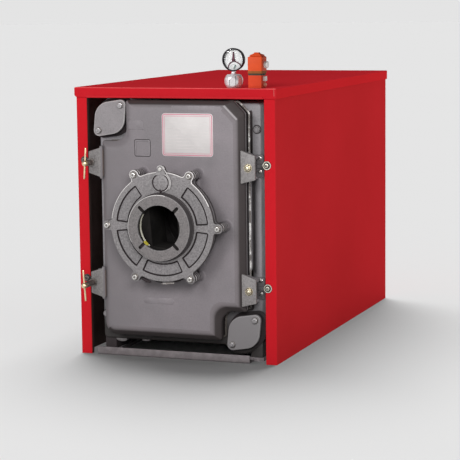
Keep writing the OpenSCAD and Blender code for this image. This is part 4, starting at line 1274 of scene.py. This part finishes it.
def door_parts():
    # ceramic block behind the door
    m = Mesh()
    ang = mono_angles(door2(22), BC)
    loops = [at_y(on_circle(BC, 126.4, ang), -80), at_y(on_circle(BC, 126.4, ang), -15.8), at_y(door2(20.6), -15.8), at_y(door2(20.6), 30), at_y(door2(22.6), 32)]
    loops.append(at_y(on_circle(BC, 78, ang), 32))
    loops.append(at_y(on_circle(BC, 66.6, ang), 26))
    loops.append(at_y(on_circle(BC, 66.2, ang), -80))
    rs = [m.ring(l) for l in loops]
    for k, (a, b) in enumerate(zip(rs, rs[1:] + rs[:1])):
        m.mat = 1 if k >= 6 else 0
        m.bridge(a, b)
    m.obj("door_ceramic_block", [M_FIBRE, M_SOOT], DOOR, "insulation", ["door_insulation"], angle=40)
    # rope seal: twisted strands along the rim
    path = [(x, 32.4, z) for x, z in door2(3.0, 8)]
    p = np.array(path + path[:1])
    seg = np.linalg.norm(np.diff(p, axis=0), axis=1)
    s = np.concatenate([[0], np.cumsum(seg)])
    n = int(s[-1] / 2.6)
    u = np.linspace(0, s[-1], n, endpoint=False)
    q = np.stack([np.interp(u, s, p[:, i]) for i in range(3)], 1)
    m = Mesh()
    t = np.roll(q, -1, 0) - np.roll(q, 1, 0)
    t /= np.linalg.norm(t, axis=1, keepdims=True)
    side = np.cross(t, (0, 1, 0))
    rng = random.Random(5)
    wob = [0.0] * n
    ph = [rng.uniform(0, 6.28) for _ in range(6)]
    turns = round(s[-1] / 17.0)
    for k in range(3):
        line = []
        for i in range(n):
            a = 2 * math.pi * (turns * i / n + k / 3)
            w = 0.35 * math.sin(i * 0.11 + ph[0]) + 0.3 * math.sin(i * 0.37 + ph[1])
            line.append(q[i] + side[i] * (1.1 * math.cos(a) + w) + np.array((0, 2.2 * math.sin(a), 0)))
        tube(line, 1.7, 8, m, closed=True)
    # the left and bottom runs of the rope take the dark copy: painted shade
    for k, f in enumerate(m.f):
        vs = [m.v[i] for i in f]
        if min(v[0] for v in vs) < 446 or min(v[2] for v in vs) < 168:
            m.m[k] = 2
    # near-black band before and behind the rope: painted shade
    m.mat = 1
    bed = [m.ring(at_y(door2(d), y)) for d, y in ((17, 4.2), (7.5, 4.2), (7.5, 37.2), (17, 37.2))]
    for a, b in zip(bed, bed[1:] + bed[:1]):
        m.bridge(a, b)
    m.obj("door_rope_seal", [M_ROPE, M_SHADE_NEAR_BLACK, M_ROPE_SHADED], DOOR, "rope", ["rope_seal"], angle=60)


def soot_mat():
    m, nt, b, co = new_mat("sooty_refractory")
    c = ramp(nt, noise_node(nt, co, 18, 5, 0.65), [(0.35, (0.010, 0.009, 0.0085)), (0.75, (0.024, 0.022, 0.0205))])
    nt.links.new(c, b.inputs["Base Color"])
    b.inputs["Roughness"].default_value = 0.95
    b.inputs["Specular IOR Level"].default_value = 0.1
    nt.links.new(bump(nt, noise_node(nt, co, 120, 4), 0.001, 0.5), b.inputs["Normal"])
    return m


M_SOOT = soot_mat()
door_casting()
door_parts()


def burner_flange():
    ears = [(a, PCR, 13.4) for a in range(0, 360, 60)] + [(90, 157, 11)]

    def fn(d):
        return lobed(BC, 151, ears, d, rf=8)
    _, ang = fn(0)
    m = Mesh()
    yf, yb = -98.0, -86.0
    loops, mats = [], []

    def put(l, mat=0):
        loops.append(l)
        mats.append(mat)
    # the bore and back ring near-black, the back edge and hub wall dark, a near-black ring at the hub foot: painted
    # shade; the outer edge round on its upper arc and the hub's front edge on its upper left pale: painted highlight
    put(at_y(on_circle(BC, 80, ang), yb), 1)
    put(at_y(fn(0.8)[0], yb), 1)
    put(at_y(fn(0)[0], yb - 0.8), 4)
    for k, (d, y) in enumerate(edge(2.0, 4, yf, out=-1)):
        put(at_y(fn(d)[0], y), 2 if 0 < k < 4 else 0)
    put(at_y(fn(3.1)[0], yf))
    # flat field, then the fillet at the hub foot, the hub wall and its rounded front edge
    put(at_y(on_circle(BC, 139, ang), yf))
    put(at_y(on_circle(BC, 97, ang), yf))
    put(at_y(on_circle(BC, 94.6, ang), yf + 0.1), 1)
    put(at_y(on_circle(BC, 92.9, ang), yf - 0.1), 4)
    put(at_y(on_circle(BC, 91.6, ang), yf - 1.4), 4)
    put(at_y(on_circle(BC, 91.0, ang), -115), 4)
    put(at_y(on_circle(BC, 90.8, ang), -121.2), 4)
    for k, (d, y) in enumerate(edge(1.5, 3, -123, out=-1)):
        put(at_y(on_circle(BC, 90.8 - d, ang), y), 5)
    mats[-1] = 6
    put(at_y(on_circle(BC, 84.5, ang), -123), 6)
    put(at_y(on_circle(BC, 64, ang), -123), 6)
    for d, y in edge(1.2, 3, -123, out=-1)[::-1]:
        put(at_y(on_circle(BC, 62 + d, ang), y))
    put(at_y(on_circle(BC, 62, ang), -116.5), 1)
    put(at_y(on_circle(BC, 80, ang), -116.5), 1)
    rs = [m.ring(l) for l in loops]
    for k, (a, b) in enumerate(zip(rs, rs[1:] + rs[:1])):
        for i in range(len(a)):
            j = (i + 1) % len(a)
            q = m.v[a[i]]
            deg = math.degrees(math.atan2(q[2] - BC[1], q[0] - BC[0])) % 360
            m.mat = mats[k]
            # the pale edge colour stays only where the edge faces up: painted highlight
            if mats[k] == 2 and not 22 < deg < 172:
                m.mat = 0
            if mats[k] == 5:
                m.mat = 2 if 75 < deg < 205 else 0
            m.face((a[i], a[j], b[j], b[i]))
    m.mat = 0
    ob = m.obj("burner_flange_casting", [M_FLANGE, M_SHADE_NEAR_BLACK, M_EDGE_HIGHLIGHT, M_PANEL, M_FLANGE_SIDE_SHADE, M_FLANGE, M_HUB], DOOR, "section_iron", ["burner_flange"], angle=40)
    cuts = []
    # five blank recessed panels, each inside a deeper outline
    for a0, a1 in ((4.5, 55.5), (124.5, 174.5), (185.5, 235), (244, 296), (305, 354.5)):
        c = Mesh()
        c.mat = 3
        c.stack([at_y(sector(BC, 101, 135, a0, a1, 3.2, d), y) for d, y in ((0.0, -98.6), (0.9, -95.9))])
        cuts.append(c)
    for a0, a1 in ((4.5, 55.5), (124.5, 174.5), (185.5, 235), (244, 296), (305, 354.5)):
        c = Mesh()
        # the outline's walls and floor are near-black: painted shade
        c.mat = 1
        ls = [sector(BC, 101, 135, a0, a1, 3.2, d) for d in (-1.1, -0.7, 3.1, 3.6)]
        rr = [c.ring(at_y(l, y)) for l, y in ((ls[0], -99.0), (ls[1], -93.2), (ls[2], -93.2), (ls[3], -99.0))]
        for a, b in zip(rr, rr[1:] + rr[:1]):
            c.bridge(a, b)
        cuts.append(c)
    # four fixing slots in the hub
    for a in (45, 135, 225, 315):
        c = Mesh()
        # slot walls near-black: painted shade
        c.mat = 1
        t = rad(a)
        u, n_ = (math.cos(t), math.sin(t)), (-math.sin(t), math.cos(t))
        pts = [(55, -4.6), (77.5, -4.6)] + [(77.5 + 4.6 * math.cos(q), 4.6 * math.sin(q)) for q in np.linspace(-1.2, 1.2, 7)] + [(77.5, 4.6), (55, 4.6)]
        poly = [(BC[0] + x * u[0] + z * n_[0], BC[1] + x * u[1] + z * n_[1]) for x, z in pts]
        prism(poly, -127, -108, c)
        cuts.append(c)
    # sight hole
    c = Mesh()
    revolve([(12, -101), (12, -80)], (295, 508), mesh=c, n=32)
    cuts.append(c)
    boolean_cut(ob, cuts)
    # gasket inside the hub: cream where it bulges into the bore at the left, yellow in one slot with a near-black
    # painted shade strip beside it, sooty elsewhere
    g = Mesh()
    n = 192
    prof = [(61.0, -99.0), (79.6, -99.0), (79.6, -116.2), (62.4, -116.2), (61.2, -109.0)]
    rr = [g.ring([(BC[0] + (r_ + (0.9 * math.sin(3 * t + 1) if r_ < 65 else 0)) * math.cos(t), y, BC[1] + (r_ + (0.9 * math.sin(3 * t + 1) if r_ < 65 else 0)) * math.sin(t)) for t in np.linspace(0, 2 * math.pi, n, endpoint=False)]) for r_, y in prof]
    for k, (a, b) in enumerate(zip(rr, rr[1:] + rr[:1])):
        for i in range(n):
            j = (i + 1) % n
            deg = 360.0 * (i + 0.5) / n
            g.mat = 2
            if (219 < deg < 232 and k >= 3) or (214 < deg < 236 and k == 2 and False):
                g.mat = 0
            elif 216 < deg < 234 and k == 2:
                g.mat = 3
            elif 146 < deg < 236 and k == 4:
                g.mat = 1
            g.face((a[i], a[j], b[j], b[i]))
    g.obj("burner_gasket_ring", [M_GASKET, M_CREAM, M_SOOT, M_SHADE_NEAR_BLACK], DOOR, "gasket", ["burner_gasket"])
    # bolts
    m = Mesh()
    for k, a in enumerate(range(0, 360, 60)):
        x, z = BC[0] + PCR * math.cos(rad(a)), BC[1] + PCR * math.sin(rad(a))
        hex_bolt(x, z, -98, 13.0, 6.4, washer=9.8, wt=1.2, turn=(7, 41, 22, 55, 13, 30)[k], mesh=m, washer_mat=1)
        # near-black disc on each head: painted shade
        ring_mark(m, x, z, 0, 3.1, -105.3, 1)
        tube([(x, -99, z), (x, -52, z)], 4.9, 16, m)
    m.obj("burner_flange_bolts", [M_ZINC, M_ZINC_DARK], DOOR, "zinc_steel", ["flange_bolts"], angle=30)
    # pivot screw and swivelling cover of the sight hole
    m = Mesh()
    tube([(295, -97, 545), (295, -104, 545)], 3, 16, m)
    revolve([(6, -104.0), (6, -105.6), (5.2, -106.7), (3.6, -107)], (295, 545), mesh=m, n=24)
    ob = m.obj("sight_cover_screw", [M_ZINC], DOOR, "zinc_steel", ["cover_screw"], angle=35)
    c = Mesh()
    prism([(289, 544.4), (301, 544.4), (301, 545.6), (289, 545.6)], -108, -106.1, c)
    boolean_cut(ob, [c])
    m = Mesh()
    prof = [(27.0, -98.5), (27.5, -98.9), (27.5, -102.2), (26.9, -103.2), (25.7, -103.5), (25.2, -103.4), (24.7, -102.4), (24.3, -101.7), (21.6, -101.7), (21.2, -102.2), (20.4, -102.6), (4, -102.6)]
    n = 72
    loops = [[(295 + q * math.cos(t), y, 508 + q * math.sin(t)) for t in np.linspace(0, 2 * math.pi, n, endpoint=False)] for q, y in prof]
    rs = [m.ring(l) for l in loops]
    # the back edge and the ring groove near-black, painted shade; the rim's front round on its right arc in the wire
    # grey, painted highlight
    for k, (a, b) in enumerate(zip(rs, rs[1:])):
        for i in range(n):
            j = (i + 1) % n
            deg = 360.0 * (i + 0.5) / n
            m.mat = 2 if k in (6, 7, 8) or k in (0,) else 0
            if k in (3, 4) and (deg > 300 or deg < 62):
                m.mat = 1
            m.face((a[i], a[j], b[j], b[i]))
    m.mat = 0
    m.cap(rs[0], True)
    m.cap(rs[-1])
    arm = [(279, 528), (311, 528), (303.5, 545)] + arc(295, 545, 8.4, 0.1, math.pi - 0.1, 10) + [(286.5, 545)]
    a2 = bevelled(prism(arm, -103.4, -98.7), 0.8, 2, 30)
    m.add(a2)
    # thumb notch at the bottom, a near-black tab: painted shade
    m.add(bevelled(prism([(292.2, 481.2), (299.0, 481.2), (299.0, 484.2), (295.6, 484.2), (295.6, 490.0), (292.2, 490.0)], -104.3, -100), 0.5, 2), 2)
    # bright wire spring from the screw round the right side of the disc
    m2 = Mesh()
    wire = [(295 + 9.4 * math.cos(t), -103.6, 545 + 9.4 * math.sin(t)) for t in np.linspace(2.9, 0.35, 14)]
    wire += [(309.0, -103.7, 541.5), (313.5, -103.7, 535.5)]
    wire += [(295 + 29.6 * math.cos(t), -103.7, 508 + 29.6 * math.sin(t)) for t in np.linspace(0.86, -0.62, 26)]
    tube(wire, 1.15, 10, m2)
    m.add(m2, 1)
    m.obj("sight_cover_disc", [M_FLANGE, M_WIRE_AND_RIM_HIGHLIGHT, M_SHADE_NEAR_BLACK], "sight_cover", "section_iron", ["sight_cover"], angle=40)


burner_flange()


def gap_seal():
    """Fibre packing in the slit between door boss and flange; a frayed end shows at the bottom, and near-black lumps
    round the bottom of the ring are painted shade.
    """
    m = Mesh()
    rng = random.Random(11)
    pts = [(BC[0] + 138.5 * math.cos(t), -84.6, BC[1] + 138.5 * math.sin(t)) for t in np.linspace(0, 2 * math.pi, 180, endpoint=False)]
    tube(pts, 1.9, 8, m, closed=True)
    # near-black lumps round the bottom of the ring: painted shade
    for mat, d0, d1, rr_, th in ((0, -93, -79, 157.4, 2.6), (1, -116, -104, 160.0, 4.6), (1, -101, -92, 153.6, 2.4), (1, -80, -68, 153.6, 2.6)):
        a = np.linspace(rad(d0), rad(d1), 22)
        line = []
        for t in a:
            q = rr_ + 0.7 * math.sin(23 * t + 1) + rng.uniform(-0.5, 0.5)
            line.append((BC[0] + q * math.cos(t), -87.0 + rng.uniform(-0.5, 0.5), BC[1] + q * math.sin(t)))
        m.mat = mat
        tube(line, [0.8 + (th - 0.6) * math.sin(math.pi * i / 21) ** 0.5 for i in range(22)], 8, m)
    m.mat = 0
    m.obj("flange_packing", [M_ROPE, M_SHADE_NEAR_BLACK], DOOR, "rope", angle=60)


gap_seal()


def label():
    m = Mesh()
    fn = lambda d: rounded([(271, 574, 9), (421, 574, 9), (421, 692, 9), (271, 692, 9)], d, 0.6, 6)
    m.stack([at_y(fn(0), -28.1), at_y(fn(0), -28.8), at_y(fn(0.3), -29.0)])
    m.mat = 1
    for d0, d1 in ((2.0, 4.0), (7.4, 8.3)):
        a, b = fn(d0), fn(d1)
        rr = [m.ring(at_y(l, y)) for l, y in ((a, -28.9), (a, -29.08), (b, -29.08), (b, -28.9))]
        for p, q in zip(rr, rr[1:] + rr[:1]):
            m.bridge(p, q)
    # plain ruled lines
    m.mat = 2
    for k, z in enumerate((680, 668, 660, 650, 641, 632, 623, 614, 605, 596, 588)):
        x0, x1 = (284, 408) if k else (300, 392)
        prism([(x0, z - 0.35), (x1, z - 0.35), (x1, z + 0.35), (x0, z + 0.35)], -29.06, -28.9, m)
    m.obj("label_blank", [M_LABEL, M_PINK, M_RULE], DOOR, "label_white", ["label_plate"], angle=40)


M_RULE = plastic("label_rule_grey", (0.50, 0.45, 0.45), 0.45, 0.2, 0.00003, 300)
label()


def hinge_hardware():
    m = Mesh()
    for z in ZH:
        # eye of the eye bolt round the pin, with its bore
        n = 32
        o = [(HX + 7 * math.cos(t), HY + 7 * math.sin(t)) for t in np.linspace(0, 2 * math.pi, n, endpoint=False)]
        i = [(HX + 4.1 * math.cos(t), HY + 4.1 * math.sin(t)) for t in np.linspace(0, 2 * math.pi, n, endpoint=False)]
        rr = [m.ring([(x, y, zz) for x, y in l]) for l, zz in ((i, z - 7), (o, z - 7), (o, z + 7), (i, z + 7))]
        for a, b in zip(rr, rr[1:] + rr[:1]):
            m.bridge(a, b)
        revolve([(5, HY - 5.5), (5, -28), (5, -35.6), (4.2, -36.4)], (HX, z), mesh=m, n=24)
        hex_bolt(HX, z, -29.2, 15.4, 6.0, washer=11.6, wt=1.2, turn=12 if z > 300 else 40, mesh=m, washer_mat=0)
        # near-black rings on the washer and round the stud: painted shade
        ring_mark(m, HX, z, 8.6, 10.6, -30.4, 1)
        ring_mark(m, HX, z, 4.7, 6.2, -36.4, 1)
        # rounded end of the stud
        revolve([(4.6, -35.6), (4.6, -36.5), (3.9, -37.1), (2.4, -37.4), (0.8, -37.5)], (HX, z), mesh=m, n=24)
    m.obj("hinge_eye_bolts", [M_BRASS_PALE, M_SHADE_NEAR_BLACK], DOOR, "brass", ["hinge_bolts"], angle=30)


hinge_hardware()


def clamp_screws():
    for name, z, hy, tilt in (("upper", ZC[0], HY_CLAMP[0], -4.0), ("lower", ZC[1], HY_CLAMP[1], 3.9)):
        m = Mesh()
        # thread: fine rings along the shank
        prof = [(1, 10), (3.6, 10), (4.4, 9)]
        y = 8.0
        while y > -28:
            prof += [(4.4, y), (3.8, y - 0.7)]
            y -= 1.4
        prof += [(4.4, -29), (4.4, hy + 4.5), (1, hy + 4.5)]
        revolve(prof, (SX, z), mesh=m, n=20)
        e = hy + 10
        revolve([(4.5, -31), (7.4, -31), (8, -31.8), (8, e + 6.4), (7.2, e + 5.4), (7.2, e + 4.0), (8, e + 3.0), (8, e + 1), (7.2, e), (4.5, e)], (SX, z), mesh=m, n=32)
        m.add(plate(lambda d: circle(SX, z, 12 - d, 36), -31.3, -28.7, 0.6, 0.3), 1)
        m.obj("clamp_screw_%s_spindle" % name, [M_OILED, M_ZINC_DARK], "clamp_screw_" + name, "screw_steel", ["latch_screw_" + name], angle=35)
        m = Mesh()
        ball = [(8.5 * math.sin(t), hy + 8.5 * math.cos(t)) for t in np.linspace(0.12, math.pi - 0.12, 16)]
        revolve([(max(r, 0.8), a) for r, a in ball], (SX, z), mesh=m, n=32)
        t = rad(90 + tilt)
        u = (math.cos(t), math.sin(t))
        m2 = Mesh()
        L = 44.0
        prof = [(-L, 1.5), (-L + 1.0, 2.4), (-L + 3, 2.6), (-10, 2.6), (0, 2.6), (10, 2.6), (L - 3, 2.6), (L - 1.0, 2.4), (L, 1.5)]
        tube([(SX + s * u[0], hy, z + s * u[1]) for s, _ in prof], [r for _, r in prof], 14, m2)
        m.add(m2)
        m.obj("clamp_screw_%s_tbar" % name, [M_BRASS], "clamp_screw_" + name, "brass", ["latch_handle_" + name], angle=40)


clamp_screws()


# ---------------------------------------------------------------- rear connections
def rear():
    m = Mesh()
    prof = [(94, 1070), (115, 1070), (115, 1078.6), (113.6, 1080), (104, 1080), (101.5, 1081.2), (100, 1084), (100, 1187.5), (99, 1190), (95, 1190), (94, 1188.5)]
    revolve(prof, (295, 560), mesh=m, n=96, cap0=False, cap1=False)
    n = 96
    m.bridge(list(range((len(prof) - 1) * n, len(prof) * n)), list(range(0, n)))
    for k in range(6):
        t = rad(30 + 60 * k)
        r = Mesh()
        hex_bolt(295 + 107.5 * math.cos(t), 560 + 107.5 * math.sin(t), 0, 12, 5, turn=10 * k, mesh=r)
        r.transform(lambda a, b, c: (a, 1080 - b, c))
        m.add(r, 1)
    m.obj("flue_collar_casting", [M_PIPE, M_ZINC], ROOT, "pipe_iron", ["flue_collar"], angle=35)
    for name, x, z in (("flow", 98.5, 674), ("return", 491.5, 85)):
        m = Mesh()
        prof = [(32, 1070), (42, 1070), (42, 1079), (41, 1080), (38.6, 1080), (38, 1081), (38, 1150)]
        y = 1150.6
        while y < 1177:
            prof += [(37.9, y), (36.9, y + 1.15)]
            y += 2.3
        prof += [(36.6, 1178.6), (35.8, 1180), (32.6, 1180), (32, 1179.4)]
        revolve(prof, (x, z), mesh=m, n=72, cap0=False, cap1=False)
        n = 72
        m.bridge(list(range((len(prof) - 1) * n, len(prof) * n)), list(range(0, n)))
        m.obj(name + "_pipe_nipple", [M_PIPE], ROOT, "pipe_iron", [name + "_connection"], angle=35)


rear()

# ---------------------------------------------------------------- finishes of the carried-over nodes
NODE_MATS = {"rear_panel": M_RED, "base_rail_left": M_RAIL, "base_rail_right": M_RAIL, "base_rail_rear": M_RAIL,
             "middle_sections": M_IRON_DARK, "rear_section": M_SECTION}
for o in bpy.data.objects:
    if o.type == "MESH":
        for k, mat in NODE_MATS.items():
            if o.name == k or o.name.startswith(k + "."):
                for s in o.material_slots:
                    s.material = mat

# ---------------------------------------------------------------- floor, light, camera
def floor():
    m = Mesh()
    s = 60000.0
    a = m.ring([(-s, -s, 0), (s, -s, 0), (s, s, 0), (-s, s, 0)])
    b = m.ring([(-s, -s, -40), (s, -s, -40), (s, s, -40), (-s, s, -40)])
    m.bridge(b, a)
    m.cap(a)
    m.cap(b, True)
    me = m.data("studio_floor", [])
    o = bpy.data.objects.new("studio_floor", me)
    bpy.context.scene.collection.objects.link(o)
    mt, nt, b, co = new_mat("studio_floor_paint")
    c = ramp(nt, noise_node(nt, co, 0.6, 2), [(0.0, (0.796, 0.796, 0.796)), (1.0, (0.804, 0.804, 0.804))])
    nt.links.new(c, b.inputs["Base Color"])
    b.inputs["Roughness"].default_value = 1.0
    b.inputs["Specular IOR Level"].default_value = 0.0
    me.materials.append(mt)
    return o


FLOOR = floor()
scene = bpy.context.scene
world = bpy.data.worlds.new("studio_world")
scene.world = world
world.use_nodes = True
wt = world.node_tree
bg = wt.nodes["Background"]
# pale at the horizon like the floor, dimmer overhead
tc = wt.nodes.new("ShaderNodeTexCoord")
sep = wt.nodes.new("ShaderNodeSeparateXYZ")
wt.links.new(tc.outputs["Generated"], sep.inputs[0])
wr = wt.nodes.new("ShaderNodeValToRGB")
el = wr.color_ramp.elements
el[0].position, el[0].color = 0.0, (0.775, 0.775, 0.775, 1)
el[1].position, el[1].color = 1.0, (0.16, 0.16, 0.16, 1)
for pos, v in ((0.05, 0.775), (0.30, 0.22)):
    e = el.new(pos)
    e.color = (v, v, v, 1)
wt.links.new(sep.outputs[2], wr.inputs[0])
wt.links.new(wr.outputs[0], bg.inputs[0])
bg.inputs[1].default_value = 1.0

SETS = {}
for k in ("casing", "front", "sections", "top", "floor"):
    SETS[k] = bpy.data.collections.new("lit_" + k)


def aim(o, loc, target):
    o.location = loc
    d = Vector(target) - Vector(loc)
    o.rotation_euler = d.to_track_quat("-Z", "Y").to_euler()


def area(name, loc, target, size, power, color=(1, 1, 1), only=None):
    l = bpy.data.lights.new(name, "AREA")
    l.shape = "RECTANGLE"
    l.size, l.size_y = size
    l.energy = power
    l.color = color
    o = bpy.data.objects.new(name, l)
    scene.collection.objects.link(o)
    aim(o, loc, target)
    if only is not None:
        o.light_linking.receiver_collection = SETS[only]
    return o


def sun(name, loc, energy, angle, only):
    l = bpy.data.lights.new(name, "SUN")
    l.energy = energy
    l.angle = rad(angle)
    o = bpy.data.objects.new(name, l)
    scene.collection.objects.link(o)
    aim(o, loc, (0, 0, 0))
    o.light_linking.receiver_collection = SETS[only]
    return o


area("key_front", (-0.7, -4.2, 2.2), (0, -0.5, 0.45), (1.7, 1.7), 87, only="front")
area("key_right", (1.1, -2.6, 1.3), (0.1, -0.5, 0.42), (0.8, 0.8), 37, only="front")
area("key_sections", (-1.2, -4.4, 2.2), (0, -0.5, 0.4), (1.2, 1.2), 125, only="sections")
area("strip_light", (1.6, -4.4, 1.6), (0.24, -0.49, 0.45), (0.8, 1.2), 122, only="sections")
area("key_casing", (0.0, -4.8, 2.2), (0, -0.5, 0.5), (1.6, 1.6), 146, only="casing")
area("side_casing", (5.0, 0.6, 1.2), (0.3, 0.1, 0.4), (2.2, 1.8), 53, only="casing")
area("lid_casing", (0.0, 0.6, 4.0), (0.0, 0.0, 0.7), (2.0, 2.0), 48, only="casing")
area("key_top", (-2.4, -3.6, 3.0), (0, -0.4, 0.8), (1.2, 1.2), 200, only="top")
sun("floor_sun", (-0.22, 0.52, 1.0), 2.78, 50, "floor")

# camera at the view of the reference
yaw, pitch, roll = -0.3563505, 0.1330841, -0.0116373
cyw, syw, cp, sp, cr, sr = math.cos(yaw), math.sin(yaw), math.cos(pitch), math.sin(pitch), math.cos(roll), math.sin(roll)
base = Matrix(((1, 0, 0), (0, 0, -1), (0, 1, 0)))
Ry = Matrix(((cyw, -syw, 0), (syw, cyw, 0), (0, 0, 1)))
Rx = Matrix(((1, 0, 0), (0, cp, -sp), (0, sp, cp)))
Rz = Matrix(((cr, -sr, 0), (sr, cr, 0), (0, 0, 1)))
R = Rz @ Rx @ base @ Ry
cam_data = bpy.data.cameras.new("camera")
cam = bpy.data.objects.new("camera", cam_data)
scene.collection.objects.link(cam)
cam_data.sensor_fit = "HORIZONTAL"
cam_data.sensor_width = 36.0
cam_data.lens = 1739.07 / 460 * 36.0
cam_data.clip_start, cam_data.clip_end = 0.05, 500
loc = P(2108.70, -4438.01, 1005.15)
mw = Matrix.Identity(4)
for i in range(3):
    mw[i][0], mw[i][1], mw[i][2], mw[i][3] = R[0][i], -R[1][i], -R[2][i], loc[i]
cam.matrix_world = mw
scene.camera = cam
scene.view_settings.view_transform = "Standard"
scene.view_settings.look = "None"
scene.view_settings.exposure = 0.0
scene.view_settings.gamma = 1.0

SETS["floor"].objects.link(FLOOR)
CASING = ("casing_", "rear_panel", "front_rail", "base_rail")
TOP = ("gauge", "thermostat")
BEHIND = ("rope", "section", "tie_rod", "cover_plate", "middle_sections", "rear_section", "gap_seal")
for o in list(scene.objects):
    if o.type != "MESH" or o is FLOOR:
        continue
    n = o.name
    key = "casing" if any(k in n for k in CASING) and "bolt" not in n else "top" if any(k in n for k in TOP) else "sections" if any(k in n for k in BEHIND) else "front"
    SETS[key].objects.link(o)

# the red sides throw no colour onto the pale floor
for o in scene.objects:
    if o.name.startswith("casing_side"):
        o.visible_diffuse = False

bpy.context.view_layer.update()
